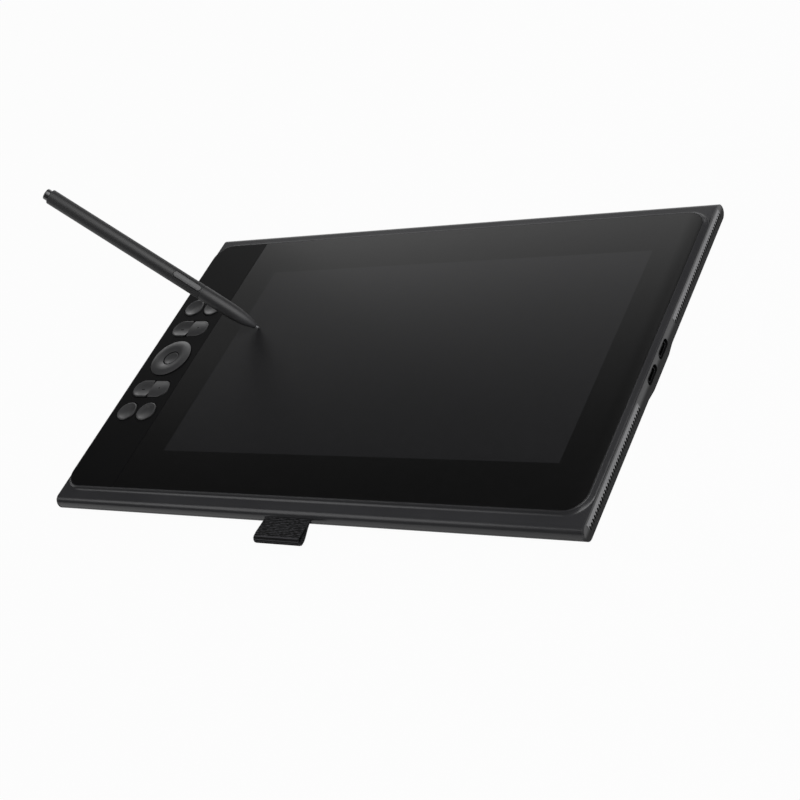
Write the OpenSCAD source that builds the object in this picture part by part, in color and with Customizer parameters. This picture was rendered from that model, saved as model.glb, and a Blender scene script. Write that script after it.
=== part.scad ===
// Graphics tablet with a screen and a shortcut key strip, and its pen.
// Origin: centre of the tablet's footprint on the desk. +X right, +Y to the back, +Z up.

/* [Screen] */
// Width of the picture area
active_w = 256.3; // [230:0.1:270]
// Depth of the picture area
active_d = 144.2; // [130:0.1:155]
// Black border of the glass at each side of the picture
border_x = 22.2; // [16:0.1:30]
// Black border of the glass in front of and behind the picture
border_y = 27.75; // [22:0.05:36]
// Thickness of the cover glass
glass_t = 1.1; // [0.8:0.05:1.4]
// Thickness of the adhesive under the glass
tape_t = 0.3; // [0.2:0.05:0.5]
// Corner radius of the glass and the key strip
corner_r = 11; // [6:0.5:16]
// Rim of the display cell outside the picture
lcd_border = 4; // [3:0.5:6]
// Thickness of the display cell
lcd_t = 1; // [0.8:0.05:1.2]
// Height of the backlight tray
tray_h = 1.7; // [1.5:0.05:2]
// Thickness of the pen sensing board
sensor_t = 0.6; // [0.4:0.05:0.8]
// Thickness of the shield under the pen sensing board
shield_t = 0.3; // [0.2:0.05:0.4]

/* [Body] */
// Margin from the glass to the left and right ends of the body
side_margin = 3.15; // [2.9:0.05:6]
// Margin from the glass to the front and back edges of the body
edge_margin = 10.35; // [9.8:0.05:16]
// Thickness of the body, which is also the diameter of its round edges
body_t = 8.4; // [8:0.1:10]
// Height of the screen platform above the body
rise = 3; // [2.6:0.1:4]
// Wall of the two shells
shell_t = 1.2; // [1:0.05:1.5]
// Rim round the glass
lip_w = 0.5; // [0.4:0.05:1]
// Width of the ledge that carries the glass
ledge_w = 4; // [3.4:0.1:4.2]
// Thickness of the end caps
cap_t = 1.4; // [1.2:0.1:2.6]
// Height of the slope at the top of the end caps
cap_slope_h = 2.4; // [0.6:0.1:3]
// Width of the slope at the top of the end caps
cap_slope_w = 1; // [0.4:0.1:1.1]
// Height of the rubber feet under the back cover
foot_h = 2; // [1.6:0.1:3]
// Length of a foot
foot_l = 50; // [30:1:70]
// Width of a foot
foot_w = 9; // [6:0.5:14]
// Distance between the left and right feet
foot_pitch_x = 230; // [180:1:260]
// Distance between the front and back feet
foot_pitch_y = 168; // [120:1:180]

/* [Vents and ports] */
// Pitch of the vent slots
vent_pitch = 2.1; // [1.8:0.1:3]
// Width of a vent slot
vent_w = 1; // [0.7:0.1:1.3]
// Height of a vent slot
vent_h = 4; // [3:0.1:4.4]
// Width of a port opening
port_w = 12.4; // [11:0.1:14]
// Height of a port opening
port_h = 4.6; // [4:0.1:4.8]
// Distance between the two ports
port_pitch = 17.2; // [15:0.1:20]
// Middle of the two ports, from the middle of the body
port_y = -3; // [-12:0.5:12]
// Plain length beside the ports, before the vents begin
port_plain = 14.5; // [10:0.5:20]
// Depth of the bulge under the ports
hump_h = 1.3; // [0.6:0.1:1.5]
// Length of the bulge's flat
hump_flat = 24; // [16:1:30]
// Run of the bulge's sloping sides
hump_run = 7; // [4:0.5:9]
// Reach of the bulge from the right end
hump_reach = 58; // [50:1:64]

/* [Keys] */
// Width of the key strip
key_panel_w = 38.9; // [38:0.1:46]
// Diameter of a round key
key_d = 14.2; // [12:0.1:14.4]
// Distance between the two round keys of a row
key_pitch = 15.8; // [15:0.1:16.2]
// Width of a split key pair
pill_w = 28.4; // [26:0.1:29]
// Depth of a split key pair
pill_d = 13.4; // [11:0.1:14]
// Gap between the halves of a split pair
split_gap = 0.8; // [0.6:0.05:1.2]
// Distance from the dial to the split pairs
row_inner = 25; // [23:0.1:28]
// Distance from the dial to the round keys
row_outer = 43.2; // [40:0.1:50]
// Height of the keys above the strip
key_proud = 0.6; // [0.3:0.05:1]
// Travel of a key
key_travel = 0.6; // [0.3:0.05:0.7]
// Radius of the finger dish in a key
dish_r = 32; // [24:1:60]
// Diameter of the dial
dial_d = 28; // [24:0.1:28.6]
// Height of the dial's crown above the strip
dial_proud = 1.3; // [0.8:0.1:2]
// Diameter of the button in the dial
dial_button_d = 11.7; // [10:0.1:13]
// Outer diameter of the post that the dial turns on
hub_d = 10; // [9:0.1:10.2]

/* [Pull tab] */
// Width of the ribbon
tab_w = 29.6; // [20:0.2:36]
// Reach of the ribbon in front of the body
tab_out = 14.6; // [8:0.2:20]
// Thickness of the ribbon
ribbon_t = 0.8; // [0.6:0.05:0.9]
// Outer height of the ribbon's fold
fold_h = 3.6; // [2.6:0.1:5]

/* [Pen] */
// Length of the pen
pen_l = 149.7; // [140:0.1:165]
// Diameter of the pen
pen_d = 9.2; // [8.8:0.1:11]
// Wall of the pen's barrel
barrel_wall = 0.8; // [0.6:0.05:1]
// Length of the nose and the nib together
nose_l = 39.7; // [39:0.1:46]
// Length over which the nose tapers
taper_l = 24; // [16:0.5:30]
// Fullness of the nose's taper, 1 for a plain cone
nose_full = 3.1; // [1:0.1:5]
// Reach of the nib out of the nose
nib_out = 2.2; // [1.6:0.1:3]
// Diameter of the nib
nib_d = 1.8; // [1.4:0.1:2]
// Length of the nib
nib_l = 30; // [29:0.5:31]
// Travel of the nib
nib_travel = 0.8; // [0.3:0.1:0.9]
// Length of the side rocker
rocker_l = 18.8; // [16:0.1:24]
// Width of the side rocker
rocker_w = 3.6; // [3:0.1:4]
// Diameter of the eraser button on the tail
eraser_d = 6.9; // [5.5:0.1:7]
// Reach of the eraser button out of the barrel
eraser_out = 3.2; // [2:0.1:4]
// Travel of the eraser button
eraser_travel = 0.8; // [0.4:0.1:1]
// Point on the glass under the nib, from the middle of the body
pen_at = [-93, 23.3];
// Lean of the pen from upright
pen_lean = 43.8; // [0:0.1:60]
// Compass turn of the pen's lean, from +X towards +Y
pen_turn = 174.6; // [0:0.1:360]
// Turn of the pen about its own length
pen_roll = 164.5; // [0:0.1:360]

/* [Clearances] */
// Gap between fixed pieces
fit = 0.1; // [0.05:0.01:0.15]
// Gap round a key, and between bodies that move
key_gap = 0.3; // [0.25:0.05:0.4]
// Radial clearance of turning fits
run = 0.05; // [0.02:0.01:0.08]

/* [Hidden] */
$fn = 64;

// Outline sizes
glass_w = active_w + 2 * border_x;
glass_d = active_d + 2 * border_y;
pocket_w = glass_w + key_panel_w;
body_w = pocket_w + 2 * side_margin;
body_d = glass_d + 2 * edge_margin;
sleeve_w = body_w - 2 * cap_t;
edge_r = body_t / 2;
seam_x = key_panel_w - pocket_w / 2;
active_x = seam_x + glass_w / 2;
far = 2 * (body_w + body_d);

// Heights, from the desk up
z_bottom = foot_h;
z_mid = z_bottom + body_t / 2;
z_floor = z_bottom + shell_t;
z_body = z_bottom + body_t;
z_roof = z_body - shell_t;
z_top = z_body + rise;
z_ledge = z_top - glass_t - tape_t;
z_tray = z_ledge - lcd_t - tray_h;
z_sensor = z_tray - sensor_t;
z_frame = z_sensor - shield_t;
frame_t = 0.8;
z_frame_low = z_frame - frame_t;

// Backlight
tray_wall = 1.2;
tray_floor = 0.3;
reflector_t = 0.2;
film_t = 0.3;
led_d = 2.6;
board_rim = 2;
shield_rim = 1.5;

// Ribs, screws and bosses
rib_half = 2.6;
opening_r = 4;
boss_r = 2.2;
screw_r = 0.95;
pilot_r = screw_r + run;
head_r = 1.8;
head_h = 0.7;
sink_h = head_h + fit;
boss_y = glass_d / 2 + lip_w + boss_r + 0.3;
boss_x = [-0.9, -0.36, 0.36, 0.9] * (sleeve_w / 2);
small_screw_r = 0.7;
small_pilot_r = small_screw_r + run;
small_head_r = 1.4;
small_boss_r = 1.8;
frame_screw_y = glass_d / 2 - ledge_w / 2;
frame_screw_x = [-0.9, -0.45, 0, 0.45, 0.9] * (pocket_w / 2);
frame_screw_bite = 2.2;
foot_sink = 0.5;

// End cap
plug_l = 2;
plug_wall = 1;
plug_relief = 5;
vent_z = z_mid + 1.5;
vent_end = 5;

// Port sockets
socket_w = 8.94;
socket_h = 3.2;
socket_wall = 0.3;
socket_l = 9.2;
socket_setback = 0.6;
socket_tongue_w = 6.7;
socket_tongue_t = 0.7;
port_z = z_mid + 0.5;
mouth_x = body_w / 2 - socket_setback;
main_w = 46;
main_d = 56;
board_t = 1;
z_main = port_z - socket_h / 2 - board_t;
main_right = body_w / 2 - cap_t - plug_l - 0.4;
main_x = main_right - main_w / 2;
main_screw_inset = 3.5;
chip_h = 1.4;

// Key strip
key_x = key_panel_w / 2 - pocket_w / 2 + 0.5;
flange = 0.6;
flange_t = 0.6;
flange_drop = 0.05;
z_flange = z_ledge - flange_drop;
stem_r = 2;
stem_l = 0.7;
z_stem = z_flange - flange_t - stem_l;
key_top = z_top + key_proud;
key_board_t = 1;
z_key_board = z_frame + key_board_t;
mat_t = 0.4;
key_board_w = max(pill_w, key_pitch + key_d) + 2 * flange - 0.6;
key_board_d = 2 * row_outer + key_d + 12;
encoder_r = dial_d / 2 - 1.6;
encoder_h = 0.55;
hub_wall = 1.6;
hub_h = 1.9;
button_r = dial_button_d / 2;
button_stem_r = hub_d / 2 - hub_wall - key_gap;
bowl_r = button_r + key_gap;
crown_r = (dial_d / 2 + bowl_r) / 2 + 0.6;
dial_edge = 0.35;
dial_steps = 7;
button_t = 1.1;
z_button = z_top - 0.1;

// Flat cables
flex_t = 0.25;
flex_w = 9;
flex_slot = 1.4;
z_flex = z_frame_low - flex_t;
connector_h = z_flex - z_main - board_t;
flex_bite = 6;
flex_x = main_x - 4;
main_left = main_x - main_w / 2;
key_flex_x = key_x + key_board_w / 2 - 4;
screen_edge_y = -active_d / 2 - lcd_border;
screen_flex_y = screen_edge_y - board_rim - 1;
sensor_flex_y = active_d / 2 + lcd_border + (board_rim + shield_rim) / 2;

// Pull tab
tab_gap = 0.3;
tail_t = 2 * ribbon_t;
tail_in = 9;
clamp_t = 1.2;
clamp_d = 6;
clamp_y = edge_r + 2 - body_d / 2;
clamp_post_r = 2.2;
clamp_w = tab_w + 2 * tab_gap + 4 * clamp_post_r;

// Pen
pen_r = pen_d / 2;
bore_r = pen_r - barrel_wall;
nib_r = nib_d / 2;
nose_tip_r = nib_r + 0.4;
ring_t = 0.6;
tail_z = pen_l - eraser_out;
core_r = 2.4;
core_l = 15;
core_z = nib_out + 12;
eraser_r = eraser_d / 2;
eraser_in = 5;
rocker_z = nose_l + ring_t + 0.7;
rocker_mid = rocker_z + rocker_l / 2;
rocker_t = 2.05;
rocker_proud = 0.15;
pin_r = 0.5;
pin_x = bore_r - 1.2;
pin_reach = sqrt(pow(pen_r, 2) - pow(pin_x + pin_r, 2)) - 2 * fit;
switch_h = 1.2;
pen_board_w = 2 * bore_r - 1;
pen_board_t = 0.8;
pen_board_l = 66;
lift_off = 0.3;
nose_steps = 14;

// Radius of the nose at a fraction of its taper, nib end first
function nose_radius(s) = nose_tip_r + (pen_r - nose_tip_r) * (1 - pow(1 - s, nose_full));

// Height of the dial above the strip at a radius: a crown that falls to a bowl inside
function dial_rise(q) = q > crown_r
    ? dial_proud * (dial_edge + (1 - dial_edge) * cos(90 * (q - crown_r) / (dial_d / 2 - crown_r)))
    : dial_proud * sin(90 * (q - bowl_r) / (crown_r - bowl_r));

// Flat shapes

module rounded_rect(w, d, r) {
    square([w - 2 * r, d], center = true);
    square([w, d - 2 * r], center = true);
    for (sx = [-1, 1], sy = [-1, 1])
        translate([sx * (w / 2 - r), sy * (d / 2 - r)])
            circle(r);
}

module stadium(w, d) {
    square([w - d, d], center = true);
    for (s = [-1, 1])
        translate([s * (w - d) / 2, 0])
            circle(d / 2);
}

// Solids that several pieces share

module slab(z0, z1) {
    translate([0, 0, z0])
        linear_extrude(z1 - z0)
            children();
}

// Drawn in Y and Z, run along X from x0 to x1
module run_x(x0, x1) {
    translate([x0, 0, 0])
        rotate([90, 0, 90])
            linear_extrude(x1 - x0)
                children();
}

// Bar with the body's round-edged section, drawn in by an inset
module body_bar(x0, x1, inset = 0) {
    run_x(x0, x1)
        translate([0, z_mid])
            stadium(body_d - 2 * inset, body_t - 2 * inset);
}

module half_space(z0, z1) {
    translate([-far / 2, -far / 2, z0])
        cube([far, far, z1 - z0]);
}

module sleeve(z0, z1) {
    intersection() {
        difference() {
            body_bar(-sleeve_w / 2, sleeve_w / 2);
            body_bar(-sleeve_w, sleeve_w, shell_t);
        }
        half_space(z0, z1);
    }
}

module pocket_outline(gap = 0) {
    rounded_rect(pocket_w - 2 * gap, glass_d - 2 * gap, corner_r - gap);
}

// Bulge under the ports, from its root in the cover to its flat, drawn in by a wall
module hump(x0, x1, wall, z_root) {
    low = z_bottom - hump_h + wall;
    half = hump_flat / 2 - wall;
    intersection() {
        run_x(x0, x1)
            translate([port_y, 0])
                polygon([
                    [-half, low], [half, low],
                    [half + hump_run, low + hump_h], [half + hump_run, z_root],
                    [-half - hump_run, z_root], [-half - hump_run, low + hump_h]
                ]);
        rotate([90, 0, 0])
            translate([0, 0, -far / 2])
                linear_extrude(far)
                    polygon([
                        [x0, low + hump_h], [x0 + hump_run, low],
                        [x1, low], [x1, z_root], [x0, z_root]
                    ]);
    }
}

module tab_slot() {
    translate([0, -body_d / 2, z_mid])
        cube([tab_w + 2 * tab_gap, 4 * shell_t, tail_t + 2 * tab_gap], center = true);
}

module at_cover_screws() {
    for (x = boss_x, s = [-1, 1])
        translate([x, s * boss_y, 0])
            children();
}

module at_frame_screws() {
    for (x = frame_screw_x, s = [-1, 1])
        translate([x, s * frame_screw_y, 0])
            children();
}

module at_main_screws() {
    for (sx = [-1, 1], sy = [-1, 1])
        translate([
            main_x + sx * (main_w / 2 - main_screw_inset),
            sy * (main_d / 2 - main_screw_inset), 0
        ])
            children();
}

module at_clamp_screws() {
    for (s = [-1, 1])
        translate([s * (tab_w / 2 + tab_gap + clamp_post_r), clamp_y, 0])
            children();
}

module at_ports() {
    for (s = [-1, 1])
        translate([0, port_y + s * port_pitch / 2, 0])
            children();
}

// One foot near each corner, and one under the middle of the screen
module at_feet() {
    for (sx = [-1, 1], sy = [-1, 1])
        translate([sx * foot_pitch_x / 2, sy * foot_pitch_y / 2, 0])
            children();
    children();
}

// Body of the tablet

module front_housing() {
    color("dimgray")
    difference() {
        union() {
            sleeve(z_mid, z_body);
            slab(z_roof, z_top)
                rounded_rect(pocket_w + 2 * lip_w, glass_d + 2 * lip_w, corner_r + lip_w);
            at_cover_screws()
                slab(z_floor + fit, z_body - shell_t / 2)
                    circle(boss_r);
            at_frame_screws()
                slab(z_frame, z_roof + shell_t / 2)
                    circle(small_boss_r);
        }
        slab(z_ledge, z_top + 1)
            pocket_outline();
        screen_opening();
        key_opening();
        at_cover_screws()
            slab(z_floor, z_roof + fit)
                circle(pilot_r);
        at_frame_screws()
            slab(z_frame - 1, z_frame + frame_screw_bite + fit)
                circle(small_pilot_r);
        tab_slot();
    }
}

module screen_opening() {
    x0 = seam_x + rib_half;
    x1 = pocket_w / 2 - ledge_w;
    slab(z_roof - 1, z_ledge + 1)
        translate([(x0 + x1) / 2, 0])
            rounded_rect(x1 - x0, glass_d - 2 * ledge_w, opening_r);
}

module key_opening() {
    x0 = ledge_w - pocket_w / 2;
    x1 = seam_x - rib_half;
    slab(z_roof - 1, z_ledge + 1)
        translate([(x0 + x1) / 2, 0])
            rounded_rect(x1 - x0, glass_d - 2 * ledge_w, opening_r);
}

module back_cover() {
    color("dimgray")
    difference() {
        union() {
            sleeve(z_bottom, z_mid);
            hump(body_w / 2 - hump_reach, sleeve_w / 2, 0, z_floor);
            at_main_screws()
                slab(z_floor - shell_t / 2, z_main)
                    circle(small_boss_r);
            at_clamp_screws()
                slab(z_floor - shell_t / 2, z_mid + tail_t / 2)
                    circle(clamp_post_r);
            translate([0, clamp_y, 0])
                slab(z_floor - shell_t / 2, z_mid - tail_t / 2)
                    square([tab_w, clamp_d], center = true);
        }
        hump(body_w / 2 - hump_reach + shell_t, sleeve_w / 2 + 1, shell_t, z_floor + fit);
        at_cover_screws() {
            slab(z_bottom - 1, z_floor + 1)
                circle(screw_r + fit);
            slab(z_bottom - 1, z_bottom + sink_h)
                circle(head_r + fit);
        }
        at_main_screws()
            slab(z_floor - shell_t / 3, z_main + 1)
                circle(small_pilot_r);
        at_clamp_screws()
            slab(z_floor, z_mid + tail_t)
                circle(small_pilot_r);
        at_feet()
            slab(z_bottom - 1, z_bottom + foot_sink)
                stadium(foot_l + 2 * fit, foot_w + 2 * fit);
        tab_slot();
    }
}

module rubber_feet() {
    color("black")
    at_feet()
        slab(0, z_bottom + foot_sink)
            stadium(foot_l, foot_w);
}

// End plate at the right; the left one is its mirror image, with no ports
module cap_plate(ports) {
    x0 = sleeve_w / 2;
    x1 = body_w / 2;
    slot_from = port_pitch / 2 + port_w / 2 + port_plain;
    slot_to = body_d / 2 - vent_end;
    difference() {
        union() {
            body_bar(x0, x1);
            difference() {
                body_bar(x0 - plug_l, x0, shell_t + fit);
                body_bar(x0 - plug_l - 1, x1, shell_t + fit + plug_wall);
                if (ports)
                    translate([x0 - plug_l - 1, port_y - main_d / 2 - plug_relief, 0])
                        cube([plug_l + 1, main_d + 2 * plug_relief, z_top]);
            }
            if (ports)
                hump(body_w / 2 - hump_reach, x1, 0, z_floor);
        }
        translate([-far, -far / 2, 0])
            cube([far + x0 - plug_l, far, z_top]);
        if (ports)
            translate([0, port_y - main_d / 2, 0])
                cube([x0, main_d, z_top]);
        rotate([90, 0, 0])
            translate([0, 0, -far / 2])
                linear_extrude(far)
                    polygon([
                        [x1 - cap_slope_w, z_body], [x1, z_body - cap_slope_h],
                        [x1 + 1, z_body - cap_slope_h], [x1 + 1, z_body + 1],
                        [x1 - cap_slope_w, z_body + 1]
                    ]);
        for (y = [port_y + slot_from : vent_pitch : slot_to])
            vent_slot(x0, y);
        for (y = [port_y - slot_from : -vent_pitch : -slot_to])
            vent_slot(x0, y);
        if (ports)
            at_ports()
                run_x(x0 - 1, x1 + 1)
                    translate([0, port_z])
                        stadium(port_w, port_h);
    }
}

module vent_slot(x0, y) {
    translate([x0 - plug_l / 2, y - vent_w / 2, vent_z - vent_h / 2])
        cube([plug_l / 2 + 2 * cap_t, vent_w, vent_h]);
}

module right_cap() {
    color("dimgray")
    cap_plate(true);
}

module left_cap() {
    color("dimgray")
    mirror([1, 0, 0])
        cap_plate(false);
}

// Screen stack

module glass_outline(gap) {
    intersection() {
        pocket_outline(gap);
        translate([seam_x + fit / 2, -far / 2])
            square(far);
    }
}

module cover_glass() {
    color([0.05, 0.05, 0.06])
    slab(z_ledge + tape_t, z_top)
        glass_outline(fit);
}

module glass_tape() {
    color("dimgray")
    slab(z_ledge, z_ledge + tape_t)
        difference() {
            glass_outline(2 * fit);
            x0 = seam_x + rib_half - 2 * fit;
            x1 = pocket_w / 2 - ledge_w + 2 * fit;
            translate([(x0 + x1) / 2, 0])
                rounded_rect(x1 - x0, glass_d - 2 * ledge_w + 4 * fit, opening_r);
        }
}

module at_screen() {
    translate([active_x, 0, 0])
        children();
}

module bond_layer() {
    color("lightgray")
    at_screen()
        slab(z_ledge, z_ledge + tape_t)
            square([active_w + lcd_border, active_d + lcd_border], center = true);
}

module lcd_outline(inset = 0) {
    square([active_w + 2 * (lcd_border - inset), active_d + 2 * (lcd_border - inset)], center = true);
}

module lcd_cell() {
    color("midnightblue")
    at_screen()
        slab(z_ledge - lcd_t, z_ledge)
            lcd_outline();
}

module backlight_tray() {
    color("silver")
    at_screen()
        difference() {
            slab(z_tray, z_tray + tray_h)
                lcd_outline();
            slab(z_tray + tray_floor, z_tray + tray_h + 1)
                lcd_outline(tray_wall);
        }
}

module reflector_sheet() {
    color("white")
    at_screen()
        slab(z_tray + tray_floor, z_tray + tray_floor + reflector_t)
            lcd_outline(tray_wall + fit);
}

module guide_level() {
    slab(z_tray + tray_floor + reflector_t, z_tray + tray_h - film_t)
        children();
}

module light_guide() {
    color("azure")
    at_screen()
        guide_level()
            difference() {
                lcd_outline(tray_wall + fit);
                translate([0, -active_d / 2 - lcd_border + tray_wall])
                    square([2 * active_w, 2 * (led_d + 2 * fit)], center = true);
            }
}

module led_bar() {
    color("gold")
    at_screen()
        guide_level()
            translate([0, -active_d / 2 - lcd_border + tray_wall + fit + led_d / 2])
                square([active_w + 2 * (lcd_border - tray_wall - fit), led_d], center = true);
}

module diffuser_film() {
    color("whitesmoke")
    at_screen()
        slab(z_tray + tray_h - film_t, z_tray + tray_h)
            lcd_outline(tray_wall + fit);
}

module sensor_board() {
    color("darkgreen")
    at_screen()
        slab(z_sensor, z_tray)
            lcd_outline(-board_rim);
}

module sensor_shield() {
    color("silver")
    at_screen()
        slab(z_frame, z_sensor)
            lcd_outline(-shield_rim);
}

module mid_frame() {
    color("gray")
    difference() {
        slab(z_frame_low, z_frame)
            square([
                sleeve_w - 2 * (plug_l + fit + 0.3),
                2 * (frame_screw_y + small_boss_r)
            ], center = true);
        at_frame_screws()
            slab(z_frame_low - 1, z_frame + 1)
                circle(small_screw_r + 2 * fit);
        translate([mouth_x - socket_l - 1, port_y - main_d / 2, z_frame_low - 1])
            cube([socket_l + 2, main_d, frame_t + 2]);
        key_flex_slot();
        screen_flex_slot();
        sensor_flex_slot();
    }
}

// Key strip

module at_keys(sx, row) {
    translate([key_x + sx, row, 0])
        children();
}

// Half of a split pair, drawn for the right side
module half_pill(grow) {
    intersection() {
        stadium(pill_w + 2 * grow, pill_d + 2 * grow);
        translate([split_gap / 2, -pill_d])
            square([pill_w, 2 * pill_d]);
    }
}

module key_panel() {
    color([0.09, 0.09, 0.1])
    difference() {
        slab(z_ledge, z_top)
            intersection() {
                pocket_outline(fit);
                translate([seam_x - fit / 2 - far, -far / 2])
                    square(far);
            }
        slab(z_ledge - 1, z_top + 1) {
            for (s = [-1, 1], t = [-1, 1])
                at_keys(s * key_pitch / 2, t * row_outer)
                    circle(key_d / 2 + key_gap);
            for (t = [-1, 1])
                at_keys(0, t * row_inner)
                    stadium(pill_w + 2 * key_gap, pill_d + 2 * key_gap);
            at_keys(0, 0)
                circle(dial_d / 2 + key_gap);
        }
    }
}

// Sphere that cuts a finger dish of the key's own width
module dish(d) {
    translate([0, 0, key_top + sqrt(dish_r * dish_r - d * d / 4)])
        sphere(dish_r);
}

module key_stem() {
    slab(z_stem, z_flange)
        circle(stem_r);
}

module round_key(sx, row) {
    color("dimgray")
    at_keys(sx, row)
        difference() {
            union() {
                slab(z_flange - flange_t, key_top)
                    circle(key_d / 2);
                slab(z_flange - flange_t, z_flange)
                    circle(key_d / 2 + flange);
                key_stem();
            }
            dish(key_d - 1);
        }
}

module split_key(side, row) {
    color("dimgray")
    at_keys(0, row)
        rotate([0, 0, side < 0 ? 180 : 0])
            difference() {
                union() {
                    slab(z_flange - flange_t, key_top)
                        half_pill(0);
                    slab(z_flange - flange_t, z_flange)
                        half_pill(flange);
                    translate([pill_w / 4, 0, 0])
                        key_stem();
                }
                translate([pill_w / 4, 0, 0])
                    dish(pill_d - 1);
            }
}

module key_back_left() { round_key(-key_pitch / 2, row_outer); }
module key_back_right() { round_key(key_pitch / 2, row_outer); }
module key_upper_left() { split_key(-1, row_inner); }
module key_upper_right() { split_key(1, row_inner); }
module key_lower_left() { split_key(-1, -row_inner); }
module key_lower_right() { split_key(1, -row_inner); }
module key_front_left() { round_key(-key_pitch / 2, -row_outer); }
module key_front_right() { round_key(key_pitch / 2, -row_outer); }

module dial_ring() {
    r = dial_d / 2;
    z0 = z_key_board + encoder_h + run;
    z1 = z_key_board + hub_h + fit;
    color("dimgray")
    at_keys(0, 0)
        rotate_extrude($fn = 96)
            polygon(concat(
                [
                    [hub_d / 2 + run, z0], [r - 1, z0], [r - 1, z_flange - flange_t],
                    [r + flange, z_flange - flange_t], [r + flange, z_flange], [r, z_flange]
                ],
                [for (i = [0 : 2 * dial_steps])
                    let (q = r + (bowl_r - r) * i / (2 * dial_steps))
                        [q, z_top + dial_rise(q)]],
                [[bowl_r, z1], [hub_d / 2 + run, z1]]
            ));
}

module dial_button() {
    color("dimgray")
    at_keys(0, 0)
        difference() {
            union() {
                slab(z_button - button_t, z_button)
                    circle(button_r);
                slab(z_stem, z_button)
                    circle(button_stem_r);
            }
            translate([0, 0, key_top - key_proud + dish_r - 0.5])
                sphere(dish_r);
        }
}

module key_board() {
    color("darkgreen")
    slab(z_frame, z_key_board)
        translate([key_x, 0])
            square([key_board_w, key_board_d], center = true);
}

module dial_encoder() {
    color("black")
    at_keys(0, 0)
        slab(z_key_board, z_key_board + encoder_h)
            difference() {
                circle(encoder_r);
                circle(hub_d / 2 + fit);
            }
}

module dial_hub() {
    color("silver")
    at_keys(0, 0)
        slab(z_key_board, z_key_board + hub_h)
            difference() {
                circle(hub_d / 2);
                circle(hub_d / 2 - hub_wall);
            }
}

module dome(x, y) {
    translate([x, y, z_key_board + mat_t / 2])
        cylinder(r1 = stem_r + 1, r2 = stem_r, h = z_stem - z_key_board - mat_t / 2);
}

module dome_mat() {
    color("lightgray")
    translate([key_x, 0, 0]) {
        difference() {
            slab(z_key_board, z_key_board + mat_t)
                square([key_board_w - 4 * fit, key_board_d - 4 * fit], center = true);
            slab(z_key_board - 1, z_key_board + mat_t + 1)
                circle(dial_d / 2 + flange);
        }
        for (s = [-1, 1], t = [-1, 1]) {
            dome(s * key_pitch / 2, t * row_outer);
            dome(s * pill_w / 4, t * row_inner);
        }
        slab(z_key_board, z_stem)
            circle(button_stem_r);
    }
}

// Boards and cables

module main_board() {
    color("darkgreen")
    difference() {
        slab(z_main, z_main + board_t)
            translate([main_x, 0])
                square([main_w, main_d], center = true);
        at_main_screws()
            slab(z_main - 1, z_main + board_t + 1)
                circle(small_screw_r + 2 * fit);
    }
}

module on_main(x, y, w, d, h) {
    translate([main_x + x - w / 2, y - d / 2, z_main + board_t])
        cube([w, d, h]);
}

module board_chips() {
    color("black") {
        on_main(-8, 8, 12, 12, chip_h);
        on_main(-8, -9, 9, 9, chip_h);
        on_main(5, 14, 6, 5, chip_h);
        on_main(-main_w / 2 + 4, 0, 5, flex_w, connector_h);
        on_main(-4, -main_d / 2 + 4, flex_w, 5, connector_h);
        on_main(-4, main_d / 2 - 4, flex_w, 5, connector_h);
    }
}

module socket_shells() {
    color("silver")
    at_ports()
        difference() {
            run_x(mouth_x - socket_l, mouth_x)
                translate([0, port_z])
                    stadium(socket_w, socket_h);
            run_x(mouth_x - socket_l + 1, mouth_x + 1)
                translate([0, port_z])
                    stadium(socket_w - 2 * socket_wall, socket_h - 2 * socket_wall);
        }
}

module socket_tongues() {
    color("black")
    at_ports()
        translate([mouth_x - socket_l + 1, -socket_tongue_w / 2, port_z - socket_tongue_t / 2])
            cube([socket_l - 2, socket_tongue_w, socket_tongue_t]);
}

// Cables lie under the mid frame and rise through slots in it
module key_flex_slot() {
    translate([key_flex_x, 0, z_frame])
        cube([flex_slot, flex_w + flex_slot, 4 * frame_t], center = true);
}

module screen_flex_slot() {
    translate([flex_x, screen_flex_y, z_frame])
        cube([flex_w + flex_slot, flex_slot, 4 * frame_t], center = true);
}

module sensor_flex_slot() {
    translate([flex_x, sensor_flex_y, z_frame])
        cube([flex_w + flex_slot, flex_slot, 4 * frame_t], center = true);
}

module key_flex() {
    color("sandybrown") {
        translate([key_flex_x - flex_t / 2, -flex_w / 2, z_flex])
            cube([main_left + flex_bite - key_flex_x, flex_w, flex_t]);
        translate([key_flex_x - flex_t / 2, -flex_w / 2, z_flex])
            cube([flex_t, flex_w, z_frame - z_flex]);
    }
}

module screen_flex() {
    y0 = screen_flex_y - flex_t / 2;
    color("sandybrown")
    translate([flex_x - flex_w / 2, y0, 0]) {
        translate([0, 0, z_flex])
            cube([flex_w, flex_bite - main_d / 2 - y0, flex_t]);
        translate([0, 0, z_flex])
            cube([flex_w, flex_t, z_ledge - lcd_t + flex_t - z_flex]);
        translate([0, 0, z_ledge - lcd_t])
            cube([flex_w, screen_edge_y - y0, flex_t]);
    }
}

module sensor_flex() {
    y0 = main_d / 2 - flex_bite;
    y1 = sensor_flex_y + flex_t / 2;
    color("sandybrown")
    translate([flex_x - flex_w / 2, 0, z_flex]) {
        translate([0, y0, 0])
            cube([flex_w, y1 - y0, flex_t]);
        translate([0, y1 - flex_t, 0])
            cube([flex_w, flex_t, z_sensor - z_flex]);
    }
}

// Pull tab: a ribbon doubled into a loop, with its two ends clamped inside

module loop_outline(inset) {
    r = fold_h / 2 - inset;
    reach = body_d / 2 + tab_out - fold_h / 2;
    hull() {
        translate([-reach, z_mid])
            circle(r, $fn = 32);
        translate([-body_d / 2 - tab_gap, z_mid])
            circle(max(tail_t / 2 - inset, 0.05), $fn = 16);
    }
}

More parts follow.
